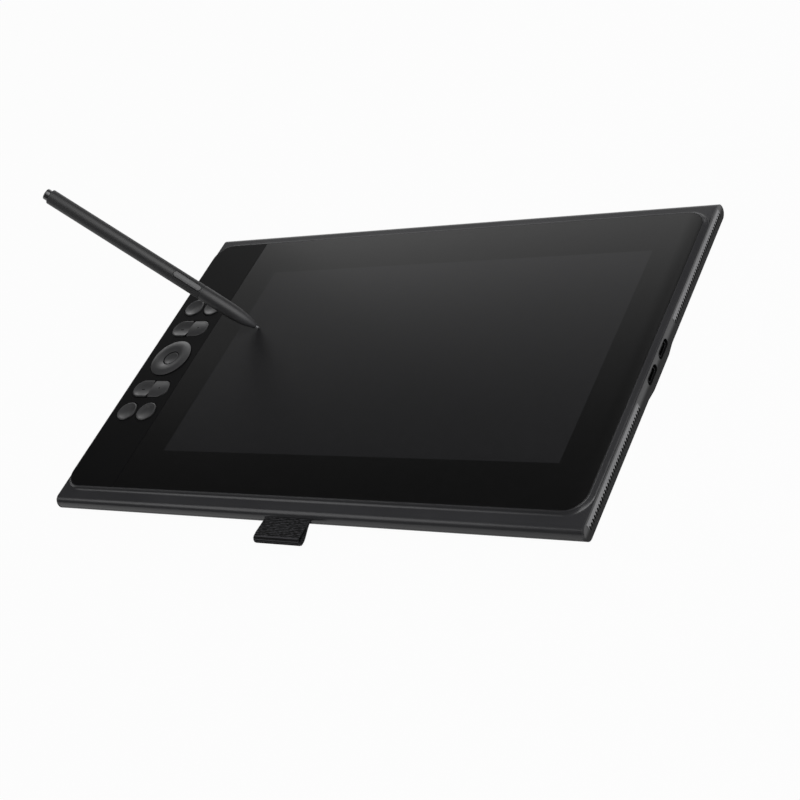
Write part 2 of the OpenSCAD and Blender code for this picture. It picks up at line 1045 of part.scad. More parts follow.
module pull_tab() {
    color("black") {
        run_x(-tab_w / 2, tab_w / 2)
            difference() {
                union() {
                    loop_outline(0);
                    translate([-body_d / 2 - tab_gap, z_mid - tail_t / 2])
                        square([tail_in, tail_t]);
                }
                loop_outline(ribbon_t);
            }
    }
}

module tab_clamp() {
    color("silver")
    difference() {
        translate([0, clamp_y, 0])
            slab(z_mid + tail_t / 2, z_mid + tail_t / 2 + clamp_t)
                square([clamp_w, clamp_d], center = true);
        at_clamp_screws()
            slab(z_mid, z_roof)
                circle(small_screw_r + 2 * fit);
    }
}

// Screws

module cover_screws() {
    color("darkgray")
    at_cover_screws() {
        slab(z_bottom + fit, z_bottom + sink_h)
            circle(head_r);
        slab(z_bottom + fit, z_roof - fit)
            circle(screw_r);
    }
}

module frame_screws() {
    color("darkgray")
    at_frame_screws() {
        slab(z_frame_low - head_h, z_frame_low)
            circle(small_head_r);
        slab(z_frame_low - head_h, z_frame + frame_screw_bite)
            circle(small_screw_r);
    }
}

module board_screws() {
    color("darkgray") {
        at_main_screws() {
            slab(z_main + board_t, z_main + board_t + head_h)
                circle(small_head_r);
            slab(z_floor, z_main + board_t + head_h)
                circle(small_screw_r);
        }
        at_clamp_screws() {
            slab(z_mid + tail_t / 2 + clamp_t, z_mid + tail_t / 2 + clamp_t + head_h)
                circle(small_head_r);
            slab(z_floor + fit, z_mid + tail_t / 2 + clamp_t + head_h)
                circle(small_screw_r);
        }
    }
}

// Pen: drawn upright with the nib's tip at the origin, then leaned over the glass

module at_pen() {
    translate([pen_at[0], pen_at[1], z_top + lift_off])
        rotate([0, pen_lean, pen_turn])
            rotate([0, 0, pen_roll])
                children();
}

module tube(z0, z1, r1, r0) {
    slab(z0, z1)
        difference() {
            circle(r1);
            circle(r0);
        }
}

module rocker_slot(gap) {
    translate([0, -rocker_w / 2 - gap, rocker_z - gap])
        cube([pen_r + 1, rocker_w + 2 * gap, rocker_l + 2 * gap]);
}

module pen_barrel() {
    color("dimgray")
    at_pen()
        difference() {
            slab(nose_l + ring_t, tail_z)
                circle(pen_r);
            slab(nose_l + ring_t - 1, tail_z - eraser_in)
                circle(bore_r);
            slab(tail_z - eraser_in - 1, tail_z + 1)
                circle(eraser_r + run);
            intersection() {
                rocker_slot(key_gap);
                slab(0, pen_l)
                    circle(pen_r + 1);
            }
            translate([pin_x, 0, rocker_mid])
                rotate([90, 0, 0])
                    cylinder(r = pin_r + run / 2, h = 2 * pin_reach + fit, center = true);
        }
}

module pen_nose() {
    color("dimgray")
    at_pen()
        difference() {
            rotate_extrude($fn = 96)
                polygon(concat(
                    [[0, nib_out]],
                    [for (i = [0 : nose_steps])
                        [nose_radius(i / nose_steps), nib_out + taper_l * i / nose_steps]],
                    [[pen_r, nose_l], [0, nose_l]]
                ));
            slab(nib_out - 1, core_z)
                circle(nib_r + run);
            slab(core_z, core_z + core_l + 1)
                circle(core_r + 0.6 + fit);
            slab(core_z + core_l, nose_l + 1)
                circle(bore_r);
        }
}

module pen_ring() {
    color("black")
    at_pen()
        tube(nose_l, nose_l + ring_t, pen_r - 0.25, bore_r);
}

module pen_nib() {
    color("silver")
    at_pen() {
        slab(nib_r, nib_l)
            circle(nib_r);
        translate([0, 0, nib_r])
            sphere(nib_r);
    }
}

module pen_core() {
    color("black")
    at_pen()
        tube(core_z, core_z + core_l, core_r, nib_r + run);
}

module pen_coil() {
    color("peru")
    at_pen()
        tube(core_z + 1, core_z + core_l - 1, core_r + 0.6, core_r);
}

module pressure_sensor() {
    color("black")
    at_pen()
        slab(nib_l + nib_travel + fit, nose_l - 1)
            circle(bore_r - fit);
}

module pen_board() {
    color("darkgreen")
    at_pen()
        translate([-pen_board_t, -pen_board_w / 2, nose_l - 1])
            cube([pen_board_t, pen_board_w, pen_board_l]);
}

module rocker_switches() {
    color("silver")
    at_pen()
        for (s = [-1, 1])
            translate([0, -1.2, rocker_mid + s * rocker_l * 0.36 - 1.5])
                cube([switch_h, 2.4, 3]);
}

module pen_rocker() {
    color("gray")
    at_pen()
        difference() {
            intersection() {
                rocker_slot(0);
                tube(0, pen_l, pen_r + rocker_proud, bore_r - rocker_t);
                translate([bore_r - rocker_t, -pen_r, 0])
                    cube([pen_d, pen_d, pen_l]);
            }
            translate([pin_x, 0, rocker_mid])
                rotate([90, 0, 0])
                    cylinder(r = pin_r + run, h = 2 * pen_r, center = true);
        }
}

module rocker_pin() {
    color("silver")
    at_pen()
        translate([pin_x, 0, rocker_mid])
            rotate([90, 0, 0])
                cylinder(r = pin_r, h = 2 * pin_reach, center = true);
}

module pen_eraser() {
    color("gray")
    at_pen()
        slab(tail_z - eraser_in + eraser_travel + fit, pen_l)
            circle(eraser_r);
}

module eraser_switch() {
    color("black")
    at_pen()
        slab(tail_z - 3 * eraser_in, tail_z - eraser_in)
            circle(bore_r - fit);
}

front_housing();
back_cover();
right_cap();
left_cap();
rubber_feet();
cover_glass();
key_panel();
glass_tape();
bond_layer();
lcd_cell();
diffuser_film();
light_guide();
led_bar();
reflector_sheet();
backlight_tray();
sensor_board();
sensor_shield();
mid_frame();
key_board();
dome_mat();
dial_encoder();
dial_hub();
key_back_left();
key_back_right();
key_upper_left();
key_upper_right();
key_lower_left();
key_lower_right();
key_front_left();
key_front_right();
dial_ring();
dial_button();
main_board();
board_chips();
socket_shells();
socket_tongues();
key_flex();
screen_flex();
sensor_flex();
pull_tab();
tab_clamp();
cover_screws();
frame_screws();
board_screws();
pen_barrel();
pen_nose();
pen_ring();
pen_nib();
pen_rocker();
rocker_pin();
pen_eraser();
pen_core();
pen_coil();
pressure_sensor();
pen_board();
rocker_switches();
eraser_switch();
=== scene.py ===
"""Looks of a graphics tablet with a screen and its pen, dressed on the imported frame.

Sizes are in millimetres in the part's own frame, and Mesher turns them into metres. Lengths
inside a finish and in the studio are in metres already.
"""
import logging
import math
from dataclasses import dataclass
from enum import Enum
from functools import partial
from typing import Any, Dict, Iterable, List, Optional, Sequence, Tuple, Union

import bmesh
import bpy
from mathutils import Matrix, Vector


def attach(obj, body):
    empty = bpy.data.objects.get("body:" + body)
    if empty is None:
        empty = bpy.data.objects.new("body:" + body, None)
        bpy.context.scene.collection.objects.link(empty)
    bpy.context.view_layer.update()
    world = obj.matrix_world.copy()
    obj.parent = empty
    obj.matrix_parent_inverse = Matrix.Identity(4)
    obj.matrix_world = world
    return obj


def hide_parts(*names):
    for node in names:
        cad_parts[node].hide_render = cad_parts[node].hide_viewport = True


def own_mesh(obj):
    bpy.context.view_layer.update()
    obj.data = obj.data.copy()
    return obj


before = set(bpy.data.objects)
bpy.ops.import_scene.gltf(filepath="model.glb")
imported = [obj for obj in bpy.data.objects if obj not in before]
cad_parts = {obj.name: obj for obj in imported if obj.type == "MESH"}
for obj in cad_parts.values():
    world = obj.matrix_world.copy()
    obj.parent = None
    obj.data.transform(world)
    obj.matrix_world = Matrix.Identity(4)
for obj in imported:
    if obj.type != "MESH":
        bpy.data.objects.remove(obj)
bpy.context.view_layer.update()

MM = 0.001
WELD = 1e-5
CLOUDS = 28.0
HANDS = 45.0
LOG = logging.getLogger("tablet")

Point2 = Tuple[float, float]
Point3 = Tuple[float, float, float]
Colour = Tuple[float, float, float]
Colour4 = Tuple[float, float, float, float]


class Body(Enum):
    """Moving bodies of the frame that pieces ride on."""

    TABLET = "tablet"
    KEY_BACK_LEFT = "key_back_left"
    KEY_BACK_RIGHT = "key_back_right"
    KEY_UPPER_LEFT = "key_upper_left"
    KEY_UPPER_RIGHT = "key_upper_right"
    DIAL = "dial"
    DIAL_BUTTON = "dial_button"
    KEY_LOWER_LEFT = "key_lower_left"
    KEY_LOWER_RIGHT = "key_lower_right"
    KEY_FRONT_LEFT = "key_front_left"
    KEY_FRONT_RIGHT = "key_front_right"
    PEN = "pen"
    NIB = "nib"
    ROCKER = "rocker"
    ERASER = "eraser"


class Row(Enum):
    """Rows of keys: two round pairs outside two split keys."""

    BACK = "back"
    UPPER = "upper"
    LOWER = "lower"
    FRONT = "front"


class Side(Enum):
    """Left or right key of a row."""

    LEFT = -1
    RIGHT = 1


# Shader graph


class Sock:
    """One output socket of a material, with arithmetic that adds Math nodes."""

    def __init__(self, graph: "Graph", socket: bpy.types.NodeSocket) -> None:
        """Keep the socket and the graph it belongs to."""
        self.graph = graph
        self.socket = socket

    def _math(self, operation: str, first: "Value", second: "Value" = 0.0) -> "Sock":
        """Add one Math node.

        Args:
            operation: The node's operation.
            first: Its first value.
            second: Its second value.

        Returns:
            The result.
        """
        return self.graph.add("ShaderNodeMath", {"operation": operation}, {0: first, 1: second})

    def __add__(self, other: "Value") -> "Sock":
        """Sum."""
        return self._math("ADD", self, other)

    def __sub__(self, other: "Value") -> "Sock":
        """Difference."""
        return self._math("SUBTRACT", self, other)

    def __rsub__(self, other: "Value") -> "Sock":
        """Difference from a plain number."""
        return self._math("SUBTRACT", other, self)

    def __mul__(self, other: "Value") -> "Sock":
        """Product."""
        return self._math("MULTIPLY", self, other)

    def __abs__(self) -> "Sock":
        """Size without sign."""
        return self._math("ABSOLUTE", self)

    __radd__ = __add__
    __rmul__ = __mul__

    def peak(self, other: "Value") -> "Sock":
        """Larger of two values."""
        return self._math("MAXIMUM", self, other)

    def wave(self, pitch: float) -> "Sock":
        """Sine from 0 to 1 of a length in metres.

        Args:
            pitch: Length of one wave in metres.

        Returns:
            The wave's height.
        """
        return self._math("SINE", self * (2 * math.pi / pitch)) * 0.5 + 0.5

    def step(self, start: float, end: float) -> "Sock":
        """Smooth rise from 0 at start to 1 at end.

        Args:
            start: Value where the rise begins.
            end: Value where it ends.

        Returns:
            The eased value.
        """
        settings = {"interpolation_type": "SMOOTHSTEP", "clamp": True}
        inputs = {0: self, 1: start, 2: end, 3: 0.0, 4: 1.0}
        return self.graph.add("ShaderNodeMapRange", settings, inputs)


Value = Union[Sock, float, Sequence[float]]


class Graph:
    """Node tree of one material or of the world."""

    def __init__(self, tree: bpy.types.NodeTree) -> None:
        """Start from an empty tree."""
        self.tree = tree
        self.tree.nodes.clear()

    def add(
        self,
        kind: str,
        settings: Optional[Dict[str, Any]] = None,
        inputs: Optional[Dict[Any, Value]] = None,
        output: Union[int, str] = 0,
    ) -> Sock:
        """Add one node of any kind.

        Args:
            kind: Blender's name of the node type.
            settings: The node's own settings, set before its sockets.
            inputs: Values or links of its sockets, by name or number.
            output: Which output to return.

        Returns:
            That output.
        """
        node = self.tree.nodes.new(kind)
        for key, value in (settings or {}).items():
            setattr(node, key, value)
        for key, value in (inputs or {}).items():
            if isinstance(value, Sock):
                self.tree.links.new(value.socket, node.inputs[key])
            else:
                node.inputs[key].default_value = value
        return Sock(self, node.outputs[output] if node.outputs else None)

    def place(self) -> Sock:
        """Position in the part's frame, in metres, carried along with the body."""
        return self.add("ShaderNodeTexCoord", output="Object")

    def axis(self, vector: Sock, name: str) -> Sock:
        """One axis of a position or direction.

        Args:
            vector: The position or direction.
            name: X, Y or Z.

        Returns:
            Its value on that axis.
        """
        return self.add("ShaderNodeSeparateXYZ", None, {0: vector}, name)

    def along(self, axis: Point3) -> Sock:
        """Distance along a tilted axis through the frame's origin.

        Args:
            axis: The axis, one unit long.

        Returns:
            The distance in metres.
        """
        inputs = {0: self.place(), 1: axis}
        return self.add("ShaderNodeVectorMath", {"operation": "DOT_PRODUCT"}, inputs, "Value")

    def stretch(self, vector: Sock, by: Point3) -> Sock:
        """Position with each axis scaled, for patterns that run one way.

        Args:
            vector: The position.
            by: Factors along X, Y and Z.

        Returns:
            The scaled position.
        """
        return self.add("ShaderNodeVectorMath", {"operation": "MULTIPLY"}, {0: vector, 1: by})

    def noise(self, scale: float, detail: float = 2.0, at: Optional[Sock] = None) -> Sock:
        """Noise from 0 to 1.

        Args:
            scale: Features per metre.
            detail: Octaves.
            at: Position, or None for the part's frame.

        Returns:
            The noise's value.
        """
        inputs = {"Vector": at or self.place(), "Scale": scale, "Detail": detail}
        return self.add("ShaderNodeTexNoise", None, {**inputs, "Roughness": 0.55})

    def mix(self, factor: Value, first: Value, second: Value) -> Sock:
        """Blend of two colours.

        Args:
            factor: 0 for the first colour, 1 for the second.
            first: A colour of four numbers, or a socket.
            second: The other colour.

        Returns:
            The blended colour.
        """
        inputs = {0: factor, 6: first, 7: second}
        return self.add("ShaderNodeMix", {"data_type": "RGBA"}, inputs, 2)

    def bump(self, height: Sock, depth: float) -> Sock:
        """Normal of a height map.

        Args:
            height: Height from 0 to 1.
            depth: Metres between 0 and 1.

        Returns:
            The bent normal.
        """
        inputs = {"Strength": 1.0, "Distance": depth, "Height": height}
        return self.add("ShaderNodeBump", None, inputs)


def tone(colour: Colour, by: float = 1.0) -> Colour4:
    """Colour made lighter or darker by a factor, with full alpha."""
    return (*(min(1.0, c * by) for c in colour), 1.0)


# Finishes


@dataclass(frozen=True)
class Finish:
    """Moulded or coated surface with a fine grain, faint handling marks and drifting shade."""

    name: str
    shade: Colour
    rough: float = 0.45
    smudge: float = 0.06
    drift: float = 0.12
    grain: float = 2600.0
    depth: float = 0.000012
    metal: float = 0.0
    coat: float = 0.0
    coat_rough: float = 0.12
    coat_ior: float = 1.5
    gloss: float = 0.5

    def drifted(self, graph: Graph, blend: Sock) -> Sock:
        """Shade that goes a little darker and lighter.

        Args:
            graph: The material's graph.
            blend: 0 where it is darkest and 1 where it is lightest.

        Returns:
            A colour socket.
        """
        dark, light = tone(self.shade, 1 - self.drift), tone(self.shade, 1 + self.drift)
        return graph.mix(blend, dark, light)

    def marks(self, graph: Graph) -> Sock:
        """Soft patches left by hands, from -0.5 to 0.5."""
        return graph.noise(HANDS, 4.0) - 0.5

    def colour(self, graph: Graph) -> Value:
        """Base colour.

        Args:
            graph: The material's graph.

        Returns:
            A colour socket.
        """
        cloud = graph.noise(CLOUDS, 3.0)
        speck = graph.noise(self.grain, 1.0)
        return self.drifted(graph, (cloud * 0.6 + speck * 0.4).step(0.3, 0.7))

    def roughness(self, graph: Graph) -> Value:
        """Roughness, with the patches left by hands."""
        return self.marks(graph) * (2 * self.smudge) + self.rough

    def height(self, graph: Graph) -> Sock:
        """Surface height from 0 to 1."""
        return graph.noise(self.grain, 2.0)

    def metalness(self, graph: Graph) -> Value:
        """Share of bare metal."""
        return self.metal

    def coating(self, graph: Graph) -> Value:
        """Weight of the clear coat."""
        return self.coat

    def material(self) -> bpy.types.Material:
        """Make the material, or find it if it was made before.

        Returns:
            The material.
        """
        found = bpy.data.materials.get(self.name)
        if found:
            return found
        made = bpy.data.materials.new(self.name)
        made.use_nodes = True
        made.diffuse_color = tone(self.shade)
        graph = Graph(made.node_tree)
        inputs = {
            "Base Color": self.colour(graph),
            "Roughness": self.roughness(graph),
            "Metallic": self.metalness(graph),
            "Specular IOR Level": self.gloss,
            "Coat Weight": self.coating(graph),
            "Coat Roughness": self.coat_rough,
            "Coat IOR": self.coat_ior,
            "Normal": graph.bump(self.height(graph), self.depth),
        }
        surface = graph.add("ShaderNodeBsdfPrincipled", None, inputs)
        graph.add("ShaderNodeOutputMaterial", None, {"Surface": surface})
        return made


@dataclass(frozen=True)
class ScreenGlass(Finish):
    """Etched cover glass: a black printed border and the dark panel seen through it."""

    panel: Colour = (0.0102, 0.0102, 0.0111)
    centre: Point2 = (0.0, 0.0)
    size: Point2 = (100.0, 100.0)
    soft: float = 0.15
    dust: float = 160.0

    def within(self, graph: Graph, name: str, number: int) -> Sock:
        """1 between two opposite edges of the picture area, and 0 outside them.

        Args:
            graph: The material's graph.
            name: X or Y.
            number: Number of that axis.

        Returns:
            A value socket.
        """
        far = abs(graph.axis(graph.place(), name) - self.centre[number] * MM)
        half = self.size[number] / 2
        return 1 - far.step((half - self.soft) * MM, (half + self.soft) * MM)

    def colour(self, graph: Graph) -> Value:
        """Black border, and the panel inside its edges.

        Args:
            graph: The material's graph.

        Returns:
            A colour socket.
        """
        dust = graph.noise(self.dust, 3.0).step(0.35, 0.75)
        border = graph.mix(dust, tone(self.shade, 0.8), tone(self.shade, 1.3))
        panel = graph.mix(dust, tone(self.panel, 0.95), tone(self.panel, 1.05))
        inside = self.within(graph, "X", 0) * self.within(graph, "Y", 1)
        return graph.mix(inside, border, panel)


@dataclass(frozen=True)
class CapFinish(Finish):
    """Key cap: satin on top and dull down its sides, where painted shade darkens the colour."""

    # Painted shade: the darker colour of the cap's sides, which face away from the top.
    painted_side_shade: Colour = (0.004, 0.004, 0.0043)
    facing: Point2 = (0.82, 0.94)

    def upper(self, graph: Graph) -> Sock:
        """0 on the sides and 1 where the cap faces up."""
        normal = graph.add("ShaderNodeNewGeometry", output="Normal")
        return graph.axis(normal, "Z").step(*self.facing)

    def colour(self, graph: Graph) -> Value:
        """Painted shade on the sides, and the cap's shade on top."""
        return graph.mix(self.upper(graph), tone(self.painted_side_shade), super().colour(graph))

    def coating(self, graph: Graph) -> Value:
        """Clear coat on top only."""
        return self.upper(graph) * self.coat


@dataclass(frozen=True)
class EndFinish(Finish):
    """End plate: satin along its sloping top edge and dull below, with painted shade darkening the
    wall below it.
    """

    # Painted shade: darker colour of the lower wall.
    wall: Colour = (0.003, 0.003, 0.0032)
    dull: float = 0.9
    change: Point2 = (0.0054, 0.0088)

    def upper(self, graph: Graph) -> Sock:
        """0 on the wall and 1 on the slope."""
        return graph.axis(graph.place(), "Z").step(*self.change)

    def colour(self, graph: Graph) -> Value:
        """Painted shade on the wall, and the slope's shade above it."""
        return graph.mix(self.upper(graph), tone(self.wall), super().colour(graph))

    def roughness(self, graph: Graph) -> Value:
        """Dull wall, and the slope's own roughness above it."""
        plain = self.upper(graph) * (self.rough - self.dull) + self.dull
        return plain + self.marks(graph) * self.smudge


@dataclass(frozen=True)
class Brushed(Finish):
    """Drawn or rolled metal with fine lines along one axis."""

    lines: Point3 = (60.0, 4000.0, 4000.0)

    def height(self, graph: Graph) -> Sock:
        """Fine lines from 0 to 1."""
        return graph.noise(1.0, 3.0, graph.stretch(graph.place(), self.lines))

    def colour(self, graph: Graph) -> Value:
        """Metal colour drifting from line to line."""
        return self.drifted(graph, self.height(graph))


@dataclass(frozen=True)
class Board(Finish):
    """Circuit board: copper runs show through the solder mask, with bare pads."""

    pad: Colour = (0.62, 0.5, 0.24)
    pitch: float = 0.0016
    cells: float = 130.0
    pad_cells: float = 420.0
    run_edge: Point2 = (0.8, 0.9)
    pad_edge: Point2 = (0.16, 0.2)

    def height(self, graph: Graph) -> Sock:
        """Copper runs, which turn in steps and stand proud of the board.

        Args:
            graph: The material's graph.

        Returns:
            A value socket from 0 to 1.
        """
        place = graph.place()
        settings = {"feature": "F1", "distance": "MANHATTAN"}
        inputs = {"Vector": place, "Scale": self.cells}
        cells = graph.add("ShaderNodeTexVoronoi", settings, inputs, "Position")
        along = graph.axis(place, "X") + graph.axis(cells, "Y") * 0.5
        across = graph.axis(place, "Y") + graph.axis(cells, "X") * 0.5
        return along.wave(self.pitch).peak(across.wave(self.pitch)).step(*self.run_edge)

    def pads(self, graph: Graph) -> Sock:
        """Round pads from 0 to 1."""
        inputs = {"Scale": self.pad_cells, "Vector": graph.place()}
        return 1 - graph.add("ShaderNodeTexVoronoi", {"feature": "F1"}, inputs).step(*self.pad_edge)

    def colour(self, graph: Graph) -> Value:
        """Mask, lighter over copper, and pads."""
        mask = graph.mix(self.height(graph), tone(self.shade, 0.8), tone(self.shade, 1.5))
        return graph.mix(self.pads(graph), mask, tone(self.pad))

    def metalness(self, graph: Graph) -> Value:
        """Bare metal only on the pads."""
        return self.pads(graph) * 0.9


@dataclass(frozen=True)
class Ribbon(Finish):
    """Woven ribbon: ribs across its width, with the threads of the warp over them."""

    rib: float = 0.00105
    thread: float = 0.0021
    dashes: float = 2.2
    sway: float = 0.45
    bends: float = 420.0
    slant: float = 0.8
    fibre: float = 5200.0
    fold: Point2 = (-0.1230, -0.1222)

    def height(self, graph: Graph) -> Sock:
        """Ribs and threads.

        Args:
            graph: The material's graph.

        Returns:
            A value socket from 0 to 1.
        """
        place = graph.place()
        sway = (graph.noise(self.bends, 2.0) - 0.5) * (self.sway * self.rib)
        along = graph.axis(place, "Y") + graph.axis(place, "Z") * self.slant + sway
        warp = self.dashes / self.rib
        dash = graph.noise(1.0, 1.0, graph.stretch(place, (1 / self.thread, warp, warp)))
        return along.wave(self.rib) * 0.55 + dash.step(0.36, 0.64) * 0.45

    def folded(self, graph: Graph) -> Sock:
        """1 round the fold, where the ribs open and get a painted highlight."""
        return 1 - graph.axis(graph.place(), "Y").step(*self.fold)

    def colour(self, graph: Graph) -> Value:
        """Weave with painted highlight on the thread tops and painted shade in the hollows, with
        fibres roughed up by wear.

        Args:
            graph: The material's graph.

        Returns:
            A colour socket.
        """
        fibre = graph.noise(self.fibre, 2.0) * 0.3
        # Painted highlight on the thread tops and painted shade in the hollows, over the weave's
        # own pattern.
        lit = (self.height(graph) * 0.85 + fibre).step(0.45, 0.95)
        flat = graph.mix(lit, tone(self.shade, 0.1), tone(self.shade, 3.4))
        # Painted highlight along each ridge round the fold.
        ridge = graph.axis(graph.place(), "Z").wave(self.rib).step(0.4, 0.95)
        bent = graph.mix(ridge, tone(self.shade, 0.3), tone(self.shade, 4.0))
        return graph.mix(self.folded(graph), flat, bent)


@dataclass(frozen=True)
class Wound(Finish):
    """Fine enamelled wire wound side by side along a tilted axis."""

    axis: Point3 = (0.0, 0.0, 1.0)
    pitch: float = 0.00022

    def height(self, graph: Graph) -> Sock:
        """Height of the turns from 0 to 1."""
        return graph.along(self.axis).wave(self.pitch)

    def colour(self, graph: Graph) -> Value:
        """Painted shade between the turns."""
        return graph.mix(self.height(graph), tone(self.shade, 0.4), tone(self.shade, 1.1))


@dataclass(frozen=True)
class NoseFinish(Finish):
    """Soft coat with a painted highlight that makes it lighter toward the pen's tip."""

    axis: Point3 = (0.0, 0.0, 1.0)
    tip: float = 0.0
    # Painted highlight: where the lighter colour fades out along the pen, and how much lighter it
    # is.
    painted_highlight_run: Point2 = (0.007, 0.021)
    lift: float = 2.8
    patches: float = 300.0
    ragged: float = 0.004

    def colour(self, graph: Graph) -> Value:
        """Coat, lighter near the tip with a painted highlight.

        Args:
            graph: The material's graph.

        Returns:
            A colour socket.
        """
        run = graph.along(self.axis) - self.tip
        patch = (graph.noise(self.patches, 3.0) - 0.5) * self.ragged
        past_painted_highlight = (run + patch).step(*self.painted_highlight_run)
        return graph.mix(past_painted_highlight, tone(self.shade, self.lift), super().colour(graph))


@dataclass(frozen=True)
class FlexFilm(Finish):
    """Amber film with copper tracks side by side across Y."""

    track: float = 0.0009

    def height(self, graph: Graph) -> Sock:
        """Tracks, which stand proud, from 0 to 1."""
        return graph.axis(graph.place(), "Y").wave(self.track).step(0.45, 0.6)

    def colour(self, graph: Graph) -> Value:
        """Film, darker over copper."""
        return graph.mix(self.height(graph), tone(self.shade), tone(self.shade, 0.55))


PEN_AXIS: Point3 = (-0.689071, 0.065136, 0.72176)
PEN_SHADE: Colour = (0.012, 0.012, 0.0128)
CHARCOAL: Colour = (0.03, 0.03, 0.032)
SOOT: Colour = (0.0025, 0.0025, 0.0027)

SHELL = Finish("charcoal_shell", CHARCOAL, rough=0.26, smudge=0.02, grain=3600.0,
               depth=0.000004, gloss=0.35)
COVER = Finish("charcoal_cover", (0.02, 0.02, 0.0212), rough=0.5, smudge=0.03, grain=3600.0,
               depth=0.000008, gloss=0.2)
CAP = EndFinish("charcoal_end", CHARCOAL, rough=0.34, smudge=0.03, grain=3600.0,
                depth=0.000006, gloss=0.45)
RIB = Finish("bright_lip", (0.2, 0.2, 0.205), rough=0.34, smudge=0.03, grain=4200.0,
             depth=0.000004, metal=0.9)
GLASS = ScreenGlass("etched_glass", (0.0012, 0.0012, 0.0013), rough=0.33, smudge=0.012,
                    grain=6000.0, depth=0.000001, centre=(19.45, 0.0), size=(256.3, 144.2))
STRIP = Finish("strip_black", SOOT, rough=0.34, smudge=0.02, grain=3200.0, depth=0.000003,
               gloss=0.2)
KEY = CapFinish("key_satin", (0.021, 0.021, 0.0223), rough=0.45, smudge=0.02, grain=3000.0,
                depth=0.000004, gloss=0.2, coat=1.0, coat_rough=0.36, coat_ior=2.5)
# Painted shade: black for the sleeves put inside the ports.
PORT_SHADE = Finish("port_painted_shade", SOOT, rough=0.8, grain=2000.0, depth=0.00001, gloss=0.08)
MARK = Finish("key_mark", (0.008, 0.008, 0.009), rough=0.5)
PEN_SOFT = Finish("pen_soft_coat", PEN_SHADE, rough=0.51, smudge=0.008, drift=0.06,
                  grain=5200.0, depth=0.000003, gloss=0.53)
# Painted highlight: the nose coat is made lighter toward the tip.
PEN_NOSE = NoseFinish("pen_coat_painted_highlight", PEN_SHADE, rough=0.5, smudge=0.008, drift=0.06,
                      grain=5200.0, depth=0.000003, gloss=0.55, axis=PEN_AXIS, tip=0.07549)
ROCKER = Finish("rocker_satin", (0.045, 0.045, 0.0475), rough=0.42, smudge=0.05, grain=3000.0,
                depth=0.000008)
PLUG = Finish("plug_gloss", (0.02, 0.02, 0.021), rough=0.22, smudge=0.02, grain=3000.0,
              depth=0.000003, gloss=0.8)
NIB = Finish("nib_grey", (0.11, 0.11, 0.116), rough=0.4, grain=5000.0, depth=0.000004)
RUBBER = Finish("foot_rubber", (0.016, 0.016, 0.017), rough=0.72, smudge=0.08, grain=1800.0,
                depth=0.00003)
BLACK = Finish("moulded_black", (0.008, 0.008, 0.0085), rough=0.5, grain=2000.0, depth=0.00001)
# Painted shade: near-black steel for the socket shells inside the ports.
STEEL_PAINTED_SHADE = Brushed("steel_painted_shade", (0.035, 0.035, 0.037), rough=0.35, drift=0.2, metal=1.0,
                     depth=0.000004)
STEEL = Brushed("stamped_steel", (0.56, 0.56, 0.58), rough=0.28, drift=0.14, metal=1.0,
                depth=0.000004)
PIN = Brushed("turned_steel", (0.6, 0.6, 0.61), rough=0.22, drift=0.1, metal=1.0,
              depth=0.000003, lines=(3000.0, 3000.0, 200.0))
SCREW = Finish("blackened_screw", CHARCOAL, rough=0.34, metal=0.8, grain=4200.0, depth=0.000005)
FRAME = Brushed("frame_aluminium", (0.5, 0.5, 0.52), rough=0.4, drift=0.1, metal=1.0,
                depth=0.000004)
BOARD = Board("circuit_board", (0.012, 0.075, 0.03), rough=0.3, depth=0.00003)
CONTACT = Brushed("gilt_contact", (0.75, 0.55, 0.22), rough=0.25, metal=1.0, depth=0.000002)
FILM = Finish("white_film", (0.82, 0.82, 0.82), rough=0.6, drift=0.03, depth=0.000003)
TAPE = Finish("grey_tape", (0.05, 0.05, 0.05), rough=0.7, grain=1500.0, depth=0.00002)
CELL = Finish("panel_cell", (0.012, 0.012, 0.018), rough=0.12, drift=0.3, grain=7000.0,
              depth=0.000001)
ACRYLIC = Finish("guide_acrylic", (0.7, 0.76, 0.78), rough=0.1, drift=0.04, grain=900.0,
                 depth=0.000006)
SILICONE = Finish("dome_silicone", (0.62, 0.62, 0.6), rough=0.55, drift=0.05, grain=1500.0,
                  depth=0.00001)
FLEX = FlexFilm("flex_film", (0.5, 0.24, 0.05), rough=0.35, depth=0.00002)
RIBBON = Ribbon("woven_ribbon", (0.013, 0.013, 0.014), rough=0.8, smudge=0.04, depth=0.00018,
                gloss=0.2)
FERRITE = Finish("sintered_ferrite", CHARCOAL, rough=0.6, grain=3500.0, depth=0.00002)
COPPER = Wound("wound_copper", (0.6, 0.27, 0.1), rough=0.3, metal=1.0, depth=0.00006,
               axis=PEN_AXIS)


# Meshes


def shade_smooth(mesh: bmesh.types.BMesh, crease: float) -> None:
    """Shade a mesh smooth, apart from its sharp and open edges.

    Args:
        mesh: The mesh.
        crease: Edges sharper than this many degrees stay sharp.
    """
    limit = math.radians(crease)
    for face in mesh.faces:
        face.smooth = True
    for edge in mesh.edges:
        edge.smooth = len(edge.link_faces) == 2 and edge.calc_face_angle(0.0) < limit


